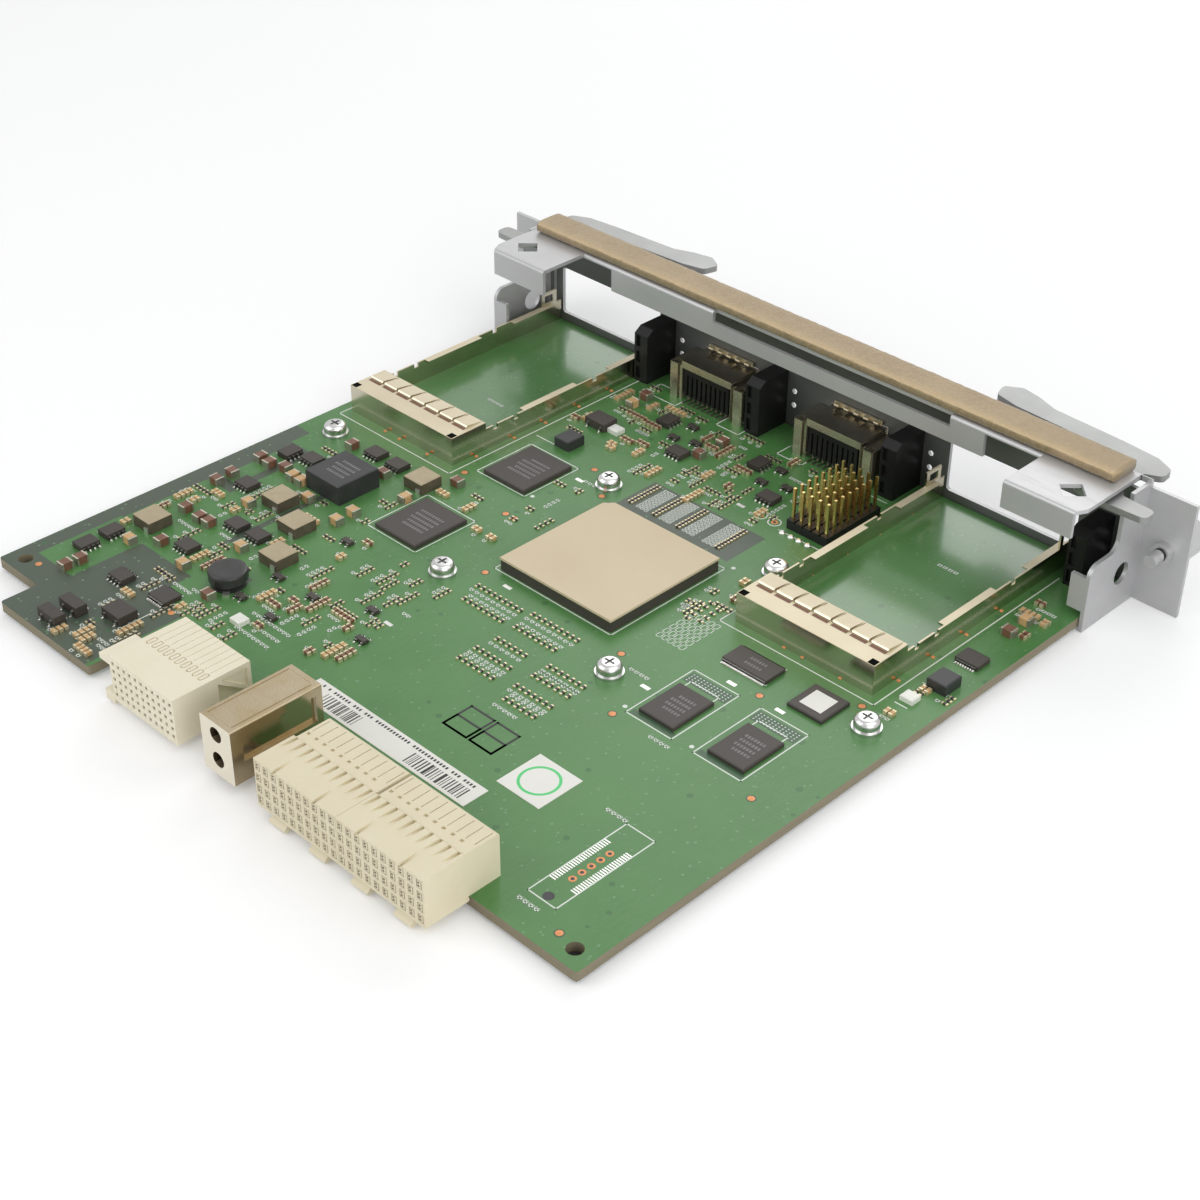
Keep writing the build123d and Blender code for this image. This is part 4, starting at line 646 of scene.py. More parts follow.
detailFinishes = {
    "silkInk": finishRow((0.80, 0.84, 0.78), (0.66, 0.72, 0.64), 0.5, driftScale=300.0),
    "tinSolder": finishRow((0.80, 0.79, 0.76), (0.60, 0.59, 0.56), 0.28, driftScale=500.0, metallic=0.9,
        grainScale=2500.0, bump=0.3),
    "capEnd": finishRow((0.46, 0.43, 0.36), (0.34, 0.32, 0.26), 0.3, driftScale=600.0, metallic=0.8,
        grainScale=2200.0, bump=0.3),
    "maskDark": finishRow((0.045, 0.10, 0.05), (0.06, 0.13, 0.06), 0.35, driftScale=400.0),
    # painted shade under the cable port spring windows
    "windowShadeBrown": finishRow((0.10, 0.085, 0.06), (0.18, 0.15, 0.10), 0.4, driftScale=500.0, metallic=0.5),
    # painted shade inside the connector openings
    "gapShadeBrown": finishRow((0.050, 0.040, 0.026), (0.09, 0.075, 0.05), 0.7, specular=0.2),
    # painted shade at the bay covers' corner holes
    "holeShadeBlack": finishRow((0.004, 0.004, 0.004), (0.008, 0.007, 0.006), 0.85, specular=0.05),
    "drumBlack": finishRow((0.028, 0.027, 0.026), (0.05, 0.05, 0.05), 0.3, driftScale=300.0,
        grainScale=1800.0, bump=0.4),
    "padGold": finishRow((0.80, 0.70, 0.48), (0.66, 0.55, 0.34), 0.35, driftScale=500.0, metallic=0.7),
    "resistorBlack": finishRow((0.03, 0.03, 0.035), (0.06, 0.06, 0.06), 0.35),
    "ceramicBrown": finishRow((0.17, 0.075, 0.045), (0.26, 0.13, 0.08), 0.35, driftScale=400.0),
    "ceramicTan": finishRow((0.58, 0.36, 0.16), (0.70, 0.48, 0.25), 0.4, driftScale=400.0),
    "copperDot": finishRow((0.80, 0.34, 0.14), (0.60, 0.22, 0.08), 0.4, driftScale=900.0, metallic=0.3),
    "chipMark": finishRow((0.21, 0.205, 0.20), (0.14, 0.135, 0.13), 0.5, driftScale=700.0),
    "barInk": finishRow((0.02, 0.02, 0.02), (0.05, 0.05, 0.05), 0.5),
    "greenInk": finishRow((0.10, 0.62, 0.20), (0.16, 0.70, 0.28), 0.5),
    "dullTin": finishRow((0.30, 0.28, 0.23), (0.20, 0.18, 0.14), 0.35, driftScale=400.0, metallic=0.9),
}
materials.update({name: buildFinish(name, look) for name, look in detailFinishes.items()})
for nodeName in ("cable_port_contacts_1", "cable_port_contacts_2"):
    frame["nodes"][nodeName].material_slots[0].material = materials["dullTin"]

# the larger parts' own places, x y and turn, as in the solids
outlineChips = [(67.3, 161.9, 0), (67.1, 143.9, 0), (59.1, 129.6, 0), (66.4, 130.1, 0), (79.4, 117.2, 0),
    (77.4, 98.6, 0), (84.0, 100.4, 90), (60.6, 85.5, 0), (68.6, 85.5, 0), (-13.7, 31.7, 0), (16.3, 31.7, 0),
    (-1.6, 21.3, 90), (28.8, 21.8, 90), (84.6, 159.9, 90), (84.8, 152.7, 90)]
smallTransistors = [(31.0, 147.7, 0), (42.2, 147.5, 0), (30.6, 136.2, 0), (42.4, 136.6, 0), (10.3, 139.0, 0),
    (17.2, 130.0, 0), (42.8, 116.1, 0), (-7.4, 27.0, 0), (22.4, 26.6, 0), (-13.8, 24.9, 0), (-7.4, 19.6, 0),
    (22.4, 19.3, 0), (16.4, 24.9, 0)]
capacitorSpots = np.array(
    [(80.1, 168.5, 90), (79.9, 164.6, 90), (78.7, 151.8, 0), (80.9, 134.3, 90), (75.1, 134.5, 90),
        (71.8, 134.3, 90), (73.0, 147.0, 90), (61.4, 149.2, 0), (47.3, 152.6, 0), (85.9, 121.5, 0),
        (86.1, 116.7, 0), (87.0, 107.2, 90), (83.3, 107.4, 90), (78.8, 105.9, 0), (74.4, 107.1, 90),
        (71.0, 107.1, 90), (72.2, 122.3, 0), (63.9, 110.8, 0), (57.9, 135.4, 0), (51.2, 112.4, 0),
        (51.4, 107.2, 0), (47.4, 94.4, 90), (59.8, 90.6, 0), (44.0, 80.5, 0), (75.8, 87.2, 90),
        (-87.6, 36.4, 0), (-87.6, 30.2, 0), (11.8, 28.6, 0), (11.6, 20.2, 90), (41.6, 16.6, 0),
        (41.4, 22.0, 90)])
inductorSpots = [(81.4, 143.4), (48.0, 132.2), (55.8, 120.7), (67.4, 116.4), (49.8, 86.7)]
screwSpots = [(-86.6, 84.8), (-35.8, 108.9), (18.1, 108.5), (84.3, 85.7), (-35.9, 54.7), (17.8, 54.7)]
leadedSets = [
    {"spots": outlineChips, "size": (5.0, 3.9, 1.5), "rows": 4, "pitch": 1.27},
    {"spots": [(54.1, 159.6, 0), (-87.9, 50.2, 0)], "size": (6.0, 4.6, 1.2), "rows": 8, "pitch": 0.65},
    {"spots": [(-55.9, 85.2, 0)], "size": (12.5, 6.1, 1.1), "rows": 24, "pitch": 0.5},
    {"spots": [(55.1, 170.9, 0), (40.2, 34.8, 0)], "size": (6.6, 4.9, 2.3), "rows": 2, "pitch": 4.4},
    {"spots": [(64.7, 182.1, 0), (64.6, 176.6, 0)], "size": (6.6, 3.0, 2.6), "rows": 2, "pitch": 3.6},
    {"spots": smallTransistors, "size": (2.9, 1.4, 1.0), "rows": 2, "pitch": 1.9},
]
leadLook = {"reach": 1.0, "gauge": 0.2, "width": 0.42, "skin": 0.02, "level": 0.45}


# leads: three thin blocks each, an arm, an upright and a foot, a hair larger than the solid's own lead
def leadShapes(kit, look):
    spots = np.array(kit["spots"], dtype=float)
    depth, height = kit["size"][1:]
    reach, gauge, skin = look["reach"], look["gauge"], look["skin"]
    level = height * look["level"]
    across = spread(kit["rows"], kit["pitch"])
    turn = np.radians(spots[:, 2])[:, None]
    shapes = []
    for side in (-1, 1):
        for offset, run, low, tall in (
                (depth / 2 + reach / 4 + 0.06, reach / 2 + 0.12, level - skin, gauge + 2 * skin),
                ((depth + reach) / 2, gauge + 2 * skin, 0.0, level + gauge + skin),
                (depth / 2 + reach * 0.75, reach / 2 + 2 * skin, 0.0, gauge + skin)):
            x = spots[:, :1] + across * np.cos(turn) - side * offset * np.sin(turn)
            y = spots[:, 1:2] + across * np.sin(turn) + side * offset * np.cos(turn)
            shapes.append(
                blocks(np.stack([x, y], axis=-1).reshape(-1, 2), (look["width"] + 2 * skin, run, tall),
                    np.repeat(spots[:, 2], len(across)), base=boardTop + low))
    return shapes


makePiece("packageLeads", [shape for kit in leadedSets for shape in leadShapes(kit, leadLook)], "tinSolder")

# multilayer capacitors: a ceramic body between two plated end caps
capacitorLook = {"body": (2.2, 2.3, 2.05), "end": (0.45, 2.4, 2.1), "reach": 1.28, "bevel": 0.14,
    "tan": (2, 7, 14, 15, 16, 17, 18, 19, 20, 21, 26, 30)}


def shiftAlong(spots, reach):
    turn = np.radians(spots[:, 2])
    return np.stack([np.cos(turn), np.sin(turn)], axis=-1) * reach


isTan = np.isin(np.arange(len(capacitorSpots)), capacitorLook["tan"])
for finishName, chosen in (("ceramicBrown", capacitorSpots[~isTan]), ("ceramicTan", capacitorSpots[isTan])):
    shape = blocks(chosen, capacitorLook["body"], chosen[:, 2], bevel=capacitorLook["bevel"])
    makePiece(finishName + "Capacitors", [shape], finishName)
endSteps = shiftAlong(capacitorSpots, capacitorLook["reach"])
makePiece("capacitorEnds",
    [
        blocks(capacitorSpots[:, :2] + side * endSteps, capacitorLook["end"], capacitorSpots[:, 2],
            bevel=capacitorLook["bevel"]) for side in (-1, 1)], "capEnd")
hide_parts("capacitors")
print("leads and capacitors done")

# zones that the smallest parts keep clear of: middle x y, half width and half depth
kept = [(x, y, 3.6, 3.6) for x, y, turn in outlineChips]
kept += [(x, y, 2.1, 2.1) for x, y, turn in smallTransistors]
kept += [(x, y, 2.0, 2.0) for x, y, turn in capacitorSpots] + [(x, y, 4.0, 4.0) for x, y in inductorSpots]
kept += [(x, y, 4.6, 4.6) for x, y in screwSpots]
kept += [(54.1, 159.6, 3.6, 4.0), (64.7, 182.1, 4.0, 2.8), (64.6, 176.6, 4.0, 2.8), (55.1, 170.9, 4.0, 3.9),
    (48.8, 145.8, 5.4, 5.4), (40.2, 34.8, 4.2, 4.2), (-87.9, 50.2, 3.8, 3.8), (38.8, 47.5, 3.4, 3.6),
    (-89.0, 61.9, 3.4, 3.6), (34.8, 153.4, 2.6, 2.4), (-86.8, 70.6, 2.6, 2.4), (35.0, 34.6, 2.6, 2.4),
    (90.0, 172.8, 3.2, 3.2), (20.6, 156.0, 8.0, 5.0)]
for nodeName in ("switch_chip", "interface_chip_1", "interface_chip_2", "power_module",
        "left_transceiver_bay", "right_transceiver_bay", "header_base", "signal_connector",
        "cable_port_shell_1", "cable_port_shell_2", "lamp_block_1", "lamp_block_2", "lamp_block_3",
        "lamp_block_4", "cable_port_contacts_1", "cable_port_contacts_2"):
    low, high = boxOf(nodeName)
    kept.append((*(low[:2] + high[:2]) / 2, *(high[:2] - low[:2]) / 2 + 0.9))
kept = np.array(kept)

# clusters: short rows of two to five parts, side by side, as a layout has them round each chip
clusterAreas = [
    {"low": (47, 90), "high": (88, 150), "rows": 34},
    {"low": (8, 112), "high": (47, 158), "rows": 46},
    {"low": (-22, 10), "high": (47, 43), "rows": 62},
    {"low": (47, 150), "high": (62, 186), "rows": 20},
    {"low": (20, 56), "high": (47, 92), "rows": 10},
    {"low": (-93, 22), "high": (-84, 78), "rows": 9},
    {"low": (-46, 42), "high": (-30, 80), "rows": 8},
]
clusterPitch = 1.35
found = []
for area in clusterAreas:
    placed = 0
    for trial in range(area["rows"] * 6):
        start = np.round(rng.uniform(area["low"], area["high"]) / 0.5) * 0.5
        count = rng.integers(2, 6)
        upright = rng.random() < 0.5
        kind = rng.random()
        line = np.arange(count)[:, None] * clusterPitch * np.array([[1.0, 0.0] if upright else [0.0, 1.0]])
        row = np.column_stack([start + line, np.full(count, 90.0 if upright else 0.0), np.full(count, kind)])
        clear = (np.abs(row[:, None, :2] - kept[None, :, :2]) > kept[None, :, 2:] + 0.5).any(axis=2).all()
        onBoard = (row[:, 1] < 176.0).all() or (
            (row[:, 0] > 46.0) & (row[:, 0] < 78.0) & (row[:, 1] < 185.5)).all()
        near = found and (
            np.abs(np.concatenate(found)[:, None, :2] - row[None, :, :2]) < 1.25).all(axis=2).any()
        if clear and onBoard and not near:
            found.append(row)
            placed += 1
        if placed == area["rows"]:
            break
clusters = np.concatenate(found)
print("clustered small parts:", len(clusters))

# drawn rows: start x y, count, step x, step y, side of the print (0 for none)
resistorRows = [(72.0, -71.5, 9, 1.75, 0, 1), (89.0, -70.5, 9, 1.75, 0, 1), (73.0, -65.5, 8, 1.75, 0, -1),
    (89.0, -64.8, 8, 1.75, 0, -1), (59.0, -60.5, 7, 1.75, 0, 1), (59.0, -56.0, 7, 1.75, 0, -1),
    (59.0, -50.8, 7, 1.75, 0, 1), (75.0, -54.0, 7, 1.75, 0, 1), (75.0, -49.0, 7, 1.75, 0, -1),
    (76.0, -59.5, 6, 1.75, 0, 1), (59.0, -46.0, 6, 1.75, 0, -1), (75.5, -130.6, 10, 0, 1.08, 0),
    (88.0, -130.6, 10, 0, 1.08, 0), (95.6, -130.6, 10, 0, 1.08, 0), (103.6, -130.6, 10, 0, 1.08, 0),
    (58.0, -104.0, 5, 0, 2.0, 0), (61.0, -103.0, 5, 0, 2.0, 0), (111.0, -101.5, 4, 0, 1.6, 0)]
rowParts, rowPrints = [], []
for x, y, count, stepX, stepY, printSide in resistorRows:
    row = np.array([[x, y]]) + np.arange(count)[:, None] * np.array([[stepX, stepY]])
    rowParts.append(np.column_stack([fromCorner(row), np.full(count, 90.0 if stepX else 0.0)]))
    if printSide:
        rowPrints.append(fromCorner(row + np.array([[0.0, printSide * 1.9]])))
for x in (78.4, 84.8, 92.3, 99.8):
    column = np.column_stack([np.full(10, x), -130.6 + 1.08 * np.arange(10)])
    rowPrints += [fromCorner(column + np.array([[shift, 0.0]])) for shift in (-1.3, 0.0, 1.3)]

# sizes of the two kinds of smallest part: body, end cap, and how far out the caps sit
smallPartLook = {
    "resistor": {"body": (0.9, 0.62, 0.38), "end": (0.36, 0.68, 0.42), "reach": 0.56},
    "ceramic": {"body": (1.1, 0.9, 0.85), "end": (0.4, 0.96, 0.9), "reach": 0.7},
}
kinds = clusters[:, 3]
smallSets = [
    ("resistor", "resistorBlack", "chip_black", np.concatenate(rowParts + [clusters[kinds < 0.52, :3]])),
    ("ceramic", "ceramicTan", "capacitor_ceramic", clusters[(kinds >= 0.52) & (kinds < 0.74), :3]),
    ("ceramic", "ceramicBrown", "capacitor_ceramic", clusters[(kinds >= 0.74) & (kinds < 0.9), :3]),
]
endShapes = []
for kind, finishName, slotName, spots in smallSets:
    look = smallPartLook[kind]
    makePiece(finishName + "Bodies", [blocks(spots, look["body"], spots[:, 2])], finishName)
    steps = shiftAlong(spots, look["reach"])
    endShapes += [blocks(spots[:, :2] + side * steps, look["end"], spots[:, 2]) for side in (-1, 1)]
printed = clusters[kinds >= 0.9, :3]
makePiece("smallPartEnds", endShapes, "padGold")

# printed marks: two upright strokes and one cross stroke, plain strokes and no letters
silkText = [(118.0, -28.0, 9), (118.0, -25.0, 7), (118.0, -22.0, 8), (62.0, -43.2, 5), (47.0, -121.0, 4),
    (160.0, -131.0, 4), (30.0, -152.0, 4), (23.0, -36.0, 4), (17.0, -6.4, 4), (33.0, -58.5, 4),
    (52.0, -72.5, 4), (112.0, -120.0, 5)]
markShapes = []
beside = clusters[(kinds < 0.9) & (rng.random(len(clusters)) < 0.5), :3]
besidePlaces = beside[:, :2] + np.stack(
    [np.where(beside[:, 2] == 0, 1.9, 0.0), np.where(beside[:, 2] == 0, 0.0, 1.7)], axis=1)
textPlaces = np.concatenate([rowAt(x + np.arange(count) * 1.5, y) for x, y, count in silkText])
markPlaces = np.concatenate(rowPrints + [printed[:, :2], besidePlaces, fromCorner(textPlaces)])
for shift, size in (((-0.42, 0.0), (0.3, 1.0, 0.03)), ((0.42, 0.0), (0.3, 1.0, 0.03)),
        ((0.0, 0.36), (1.1, 0.24, 0.03)), ((0.0, -0.3), (0.9, 0.22, 0.03))):
    markShapes.append(blocks(markPlaces + np.array(shift), size))
silkLook = {
    "rectangles": [(68.4, -115.7, 105.7, -78.3), (123.5, -88.5, 140.5, -69.5), (123.5, -123.0, 140.5, -104.5),
        (15.0, -82.0, 28.0, -61.0), (34.0, -82.0, 47.0, -61.0), (17.5, -78.4, 25.5, -64.6),
        (36.5, -78.4, 44.5, -64.6), (14.5, -35.6, 22.0, -9.0), (86.0, -169.0, 94.0, -163.5),
        (107.0, -169.0, 114.5, -163.5), (128.5, -169.0, 139.0, -163.0)],
    "runs": [(144.3, -98.7, 186.3, -98.7), (144.3, -166.0, 144.3, -98.7), (12.0, -99.5, 55.5, -99.5),
        (12.0, -167.0, 12.0, -99.5), (55.5, -105.5, 55.5, -99.5), (186.3, -104.5, 186.3, -98.7),
        (60.0, -164.5, 66.0, -164.5), (57.0, -137.0, 70.5, -137.0), (146.0, -11.5, 146.0, -4.0),
        (131.0, -127.0, 142.5, -127.0), (3.5, -113.2, 9.5, -113.2), (6.5, -103.6, 9.5, -103.6)],
    "dots": [(67.2, -117.2), (122.2, -87.0), (122.2, -106.0), (29.4, -62.2), (48.4, -62.2), (44.4, -94.0),
        (32.9, -88.8), (24.4, -95.0)]}
# printed grid beside the buffer chip: cells of a given pitch, each an outlined box
gridLook = {"corner": (53.6, -98.0), "pitch": (1.7, 2.2), "cell": (1.2, 1.7), "across": 5, "along": 6,
    "line": 0.16}
cellX, cellY = np.meshgrid(np.arange(gridLook["across"]) * gridLook["pitch"][0],
    np.arange(gridLook["along"]) * gridLook["pitch"][1])
cellLow = np.column_stack([cellX.ravel(), cellY.ravel()]) + gridLook["corner"]
gridCells = np.column_stack([cellLow, cellLow + gridLook["cell"]])
makePiece("silkOutlines",
    [strips(rectangleRuns(silkLook["rectangles"])), strips(silkLook["runs"]),
        strips(rectangleRuns(gridCells), gridLook["line"])], "silkInk")
makePiece("silkMarks", markShapes + [rounds(fromCorner(silkLook["dots"]), [(0.55, 0.0), (0.55, 0.03)])],
    "silkInk")
print("silk print and small parts done")

# bare copper and tin: alignment dots, tray tabs, footprints and header joints
copperLook = {
    "dots": [(10, -58.5), (48.5, -58.5), (31, -85), (9.5, -5), (180.5, -5), (62, -75), (13.5, -97.5),
        (110.5, -118), (118, -96), (121, -96), (142, -101.8), (120.5, -125.5), (143, -15), (106, -75.5)],
    "tabs": [(13.6, -110), (13.6, -122), (13.6, -134), (13.6, -147), (52.8, -128), (52.8, -140.5),
        (52.8, -152.5), (52.8, -165), (23, -101.9), (33.5, -101.9), (38.7, -101.9), (155, -101),
        (165.5, -101), (171, -101), (145.6, -109), (145.6, -122), (145.6, -133), (145.6, -145),
        (145.6, -157)],
    "rings": [(77.8, -138.8), (73.4, -138.8), (18.2, -17), (18.2, -19.5), (18.2, -22), (18.2, -24.5),
        (18.2, -27)]}
makePiece("copperDots",
    [rounds(fromCorner(copperLook["dots"]), [(0.8, 0.0), (0.8, 0.03), (0.3, 0.08)]),
        rounds(fromCorner(copperLook["tabs"]), [(0.5, 0.0), (0.45, 0.2), (0.2, 0.3)])], "copperDot")
padColumn = np.arange(-29.3, -14.0, 0.64)
footprint = np.concatenate([np.column_stack([np.full(len(padColumn), x), padColumn]) for x in (15.4, 21.1)])
headerPads = [(61.2, -136.4), (63.9, -136.4), (66.3, -136.4), (69.0, -136.4)]
longPads = [(119.5, -119.3), (38.0, -84.0), (24.5, -84.0), (84.0, -138.7), (106, -46.5), (98, -75.0),
    (50, -70)]
makePiece("barePads",
    [blocks(fromCorner(footprint), (1.6, 0.34, 0.04)), blocks(fromCorner(longPads), (2.4, 1.0, 0.06)),
        rounds(fromCorner(headerPads), [(0.85, 0.0), (0.8, 0.3), (0.4, 0.7)])], "tinSolder")
ringSpots = fromCorner(copperLook["rings"])
makePiece("copperRings", [flatRings(ringSpots, 0.42, 0.85, 0.035)], "copperDot")
makePiece("silkRings", [flatRings(ringSpots[:2], 1.45, 1.75, 0.03)], "silkInk")
makePiece("holeShadows",
    [rounds(ringSpots, [(0.44, 0.0), (0.44, 0.02)]),
        rounds(fromCorner([(18.0, -10.5)]), [(1.2, 0.0), (1.2, 0.02)])], "resistorBlack")
makePiece("dotRims", [flatRings(fromCorner(copperLook["dots"]), 0.82, 1.1, 0.02, sides=20)], "maskDark")
zoneBoxes = np.array(
    [(21.5, -79.4, 12.0, 3.6), (40.4, -79.4, 12.0, 3.6), (21.5, -62.2, 12.0, 1.6), (40.4, -62.2, 12.0, 1.6)])
zoneMiddles = fromCorner(zoneBoxes[:, :2])
makePiece("padZones", [blocks(zoneMiddles, np.column_stack([zoneBoxes[:, 2:], np.full(4, 0.015)]))],
    "maskDark")
gridX, gridY = np.meshgrid(np.arange(-5.2, 5.3, 0.95), np.arange(-1.2, 1.3, 0.8))
zoneDots = (zoneMiddles[:2, None, :] + np.stack([gridX.ravel(), gridY.ravel()], axis=1)).reshape(-1, 2)
makePiece("zoneDots", [blocks(zoneDots, (0.3, 0.3, 0.03))], "silkInk")


# solids drawn by an upright profile of y and z, carried a given width along x
def profileRuns(middles, profile, width, base=0.0):
    middles = np.atleast_2d(np.asarray(middles, dtype=float))
    profile = np.asarray(profile, dtype=float)
    ends = np.array([-0.5, 0.5]) * width
    x = np.broadcast_to((middles[:, :1] + ends)[..., None], (len(middles), 2, len(profile)))
    y = np.broadcast_to((middles[:, 1:2] + profile[:, 0])[:, None, :], x.shape)
    z = np.broadcast_to(profile[:, 1] + base, x.shape)
    return layeredSolid(np.stack([x, y, z], axis=-1))


# bay covers: a skin over the folded cover and seven sprung tongues that rise to a rounded nose
coverLook = {"tongues": 7, "pitch": 5.3, "width": 4.6, "front": 0.4, "length": 5.0, "rise": 0.75,
    "skin": 0.06, "shadow": (4.4, 1.0), "depth": 11.4, "lift": 7.6, "rear": 75.2, "across": 38.4,
    "holeReach": 18.1, "hole": 1.9, "shade": 0.015, "seam": 0.22}
for side in ("left", "right"):
    low, high = boxOf(side + "_transceiver_bay")
    depth = coverLook["depth"]
    top = boardTop + coverLook["lift"]
    middleX, frontY = (low[0] + high[0]) / 2, coverLook["rear"] - depth
    across = middleX + spread(coverLook["tongues"], coverLook["pitch"])
    starts = rowAt(across, frontY + coverLook["front"])
    length, rise, skinTop = coverLook["length"], coverLook["rise"], top + coverLook["skin"]
    tongue = [(0.0, 0.0), (length, 0.0), (length + 0.1, rise * 0.5), (length - 0.15, rise),
        (length - 0.6, rise * 1.02), (0.0, 0.12)]
    makePiece(side + "BayCover",
        [
            blocks([(middleX, frontY + depth / 2)], (coverLook["across"], depth - 0.2, coverLook["skin"]),
                base=top), profileRuns(starts, tongue, coverLook["width"], base=skinTop)], "bay_plating")
    noses = starts + np.array([[0.0, length + coverLook["shadow"][1] / 2 + 0.1]])
    seams = rowAt(across[1:] - coverLook["pitch"] / 2, frontY + length / 2 + 0.3)
    makePiece(side + "BayShadows", [
        blocks(noses, (*coverLook["shadow"], coverLook["shade"]), base=skinTop),
        blocks(seams, (coverLook["seam"], length, coverLook["shade"]), base=skinTop),
        ], "ceramicBrown")
    # painted shade: a black square on the cover at each rear corner hole
    makePiece(side + "BayCornerHoles", [
        blocks([(middleX + turn * coverLook["holeReach"], frontY + depth - 1.1) for turn in (-1, 1)],
               (coverLook["hole"], coverLook["hole"], 0.04), base=skinTop),
    ], "holeShadeBlack")

# gasket: a rounded bar section, a power curve of sine and cosine, carried along x,
# with soft creases on its outer side
gasketForm = {"around": 40, "along": 420, "power": 0.5, "crease": 0.07,
    "rates": (0.31, 0.53, 0.97, 1.7, 2.3, 3.1)}
low, high = boxOf("top_gasket")
middle, half = (low + high) / 2, (high - low) / 2
turnAround = np.linspace(0, 2 * np.pi, gasketForm["around"], endpoint=False)
alongBar = np.linspace(low[0], high[0], gasketForm["along"])
cosine, sine = np.cos(turnAround), np.sin(turnAround)
barY = np.sign(cosine) * np.abs(cosine) ** gasketForm["power"]
barZ = np.sign(sine) * np.abs(sine) ** gasketForm["power"]
phase = rng.uniform(0, 2 * np.pi, len(gasketForm["rates"]))
wave = sum(np.sin(alongBar[:, None] * rate + turnAround[None, :] * (1 + index % 3) + phase[index])
           for index, rate in enumerate(gasketForm["rates"])) / len(phase)
inward = 1.0 - gasketForm["crease"] * 0.5 * (1 + wave) * (barZ > -0.9)[None, :]
rings = np.stack(
    [np.broadcast_to(alongBar[:, None], wave.shape), middle[1] + half[1] * barY * inward,
        middle[2] + half[2] * np.where(barZ < 0, barZ, barZ * inward)], axis=-1)
gasketPiece = makePiece("gasketBar", [layeredSolid(rings[None])], "conductive_gasket",
    smooth=True)
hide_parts("top_gasket")

# drum inductor: a narrow foot and waist under a wide rounded drum, plus two tin terminals
drumPlace = np.array([(48.8, 145.8)])
terminalReach = np.array([3.4, -3.4])
drumProfile = [(4.2, 0.0), (4.2, 0.6), (3.7, 0.8), (3.7, 1.2), (4.5, 1.5), (4.6, 1.7), (4.6, 3.6),
    (4.45, 3.95), (4.1, 4.15), (3.6, 4.2)]
drumPiece = makePiece("drumBody", [rounds(drumPlace, drumProfile, sides=32)], "drumBlack")
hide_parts("drum_inductor")
terminals = np.concatenate([drumPlace - terminalReach, drumPlace + terminalReach])
makePiece("terminalTin",
    [blocks(terminals, (1.6, 1.6, 0.6), 45.0)] + [
        blocks(np.array(inductorSpots) + np.array(shift), (1.5, 0.5, 1.3))
        for shift in ((-2.0, 3.3), (2.0, -3.3))], "tinSolder")

# sprung strip over each cable port, with small contact bumps
# the sheet under each window is painted shade
springLook = {"ports": (-15.1, 26.9), "length": 15.0, "level": 14.2, "bumps": 5, "bumpReach": 6.2,
    "windowShadeShift": (-4.15, 4.15), "windowShadeY": 2.6, "windowShade": (2.3, 3.4, 0.3), "windowShadeBase": 12.82}
springShapes = []
for portX in springLook["ports"]:
    springShapes.append(blocks([(portX, 0.55)], (springLook["length"], 0.5, 1.1), base=springLook["level"]))
    bumpX = portX + np.linspace(-1, 1, springLook["bumps"]) * springLook["bumpReach"]
    springShapes.append(
        profileRuns(rowAt(bumpX, 0.8), [(0.0, 0.0), (0.9, 0.25), (1.0, 0.55), (0.9, 0.85), (0.0, 1.1)], 1.4,
            base=springLook["level"]))
# painted shade: a dark sheet under each spring window, just over the metal that shows through it
windowShadeX = np.add.outer(np.array(springLook["ports"]), np.array(springLook["windowShadeShift"])).ravel()
makePiece("portWindowShades",
    [blocks(rowAt(windowShadeX, springLook["windowShadeY"]), springLook["windowShade"], base=springLook["windowShadeBase"])], "windowShadeBrown")
makePiece("portSprings", springShapes, "padGold")
print("covers, gasket, drum and springs done")

# painted shade inside the backplane connectors: a dark plug in each signal hole, dark frame and slots in each
# pair cell
signalGapLook = {"middle": 21.45, "columns": 11, "rows": 5, "pitch": 2.0, "lowest": 2.75, "face": 188.0,
    "recess": 0.4, "size": 0.86, "depth": 2.4}
columnX = signalGapLook["middle"] + spread(signalGapLook["columns"], signalGapLook["pitch"])
plugDepth = signalGapLook["depth"]
plugY = signalGapLook["face"] - signalGapLook["recess"] - plugDepth / 2
plugSize = signalGapLook["size"]
makePiece("signalGaps", [
    blocks(rowAt(columnX, plugY), (plugSize, plugDepth, plugSize),
           base=signalGapLook["lowest"] + row * signalGapLook["pitch"] - plugSize / 2)
    for row in range(signalGapLook["rows"])
], "gapShadeBrown")
pairGapLook = {"middles": (-54.1, -29.1), "columns": 10, "rows": 4, "pitch": (2.5, 2.8), "shift": 0.1,
    "centre": 7.5, "face": 188.1, "ceiling": 12.45}
pairColumns = spread(pairGapLook["columns"], pairGapLook["pitch"][0])
pairX = np.add.outer(pairGapLook["middles"], pairColumns).ravel() + pairGapLook["shift"]
# parts of a cell: shift across, shift up, width, depth, height, distance of the middle behind the face
cellParts = [(-0.625, 0.0, 0.2, 0.6, 1.9, 0.5), (0.625, 0.0, 0.2, 0.6, 1.9, 0.5),
    (0.0, -0.9, 1.4, 0.6, 0.15, 0.5), (0.0, 0.9, 1.4, 0.6, 0.15, 0.5), (0.12, -0.36, 0.5, 0.03, 0.34, -0.012),
    (0.12, 0.36, 0.5, 0.03, 0.34, -0.012)]
pairGaps = []
pairCentre = pairGapLook["centre"] + pairGapLook["shift"]
for pairZ in pairCentre + spread(pairGapLook["rows"], pairGapLook["pitch"][1]):
    for across, up, width, depth, height, behind in cellParts:
        places = rowAt(pairX + across, pairGapLook["face"] - behind)
        floorZ = pairZ + up - height / 2
        # the front wedges cut the housing above this level
        reach = min(floorZ + height, pairGapLook["ceiling"]) - floorZ
        if reach > 0:
            pairGaps.append(blocks(places, (width, depth, reach), base=floorZ))
makePiece("pairGaps", pairGaps, "gapShadeBrown")

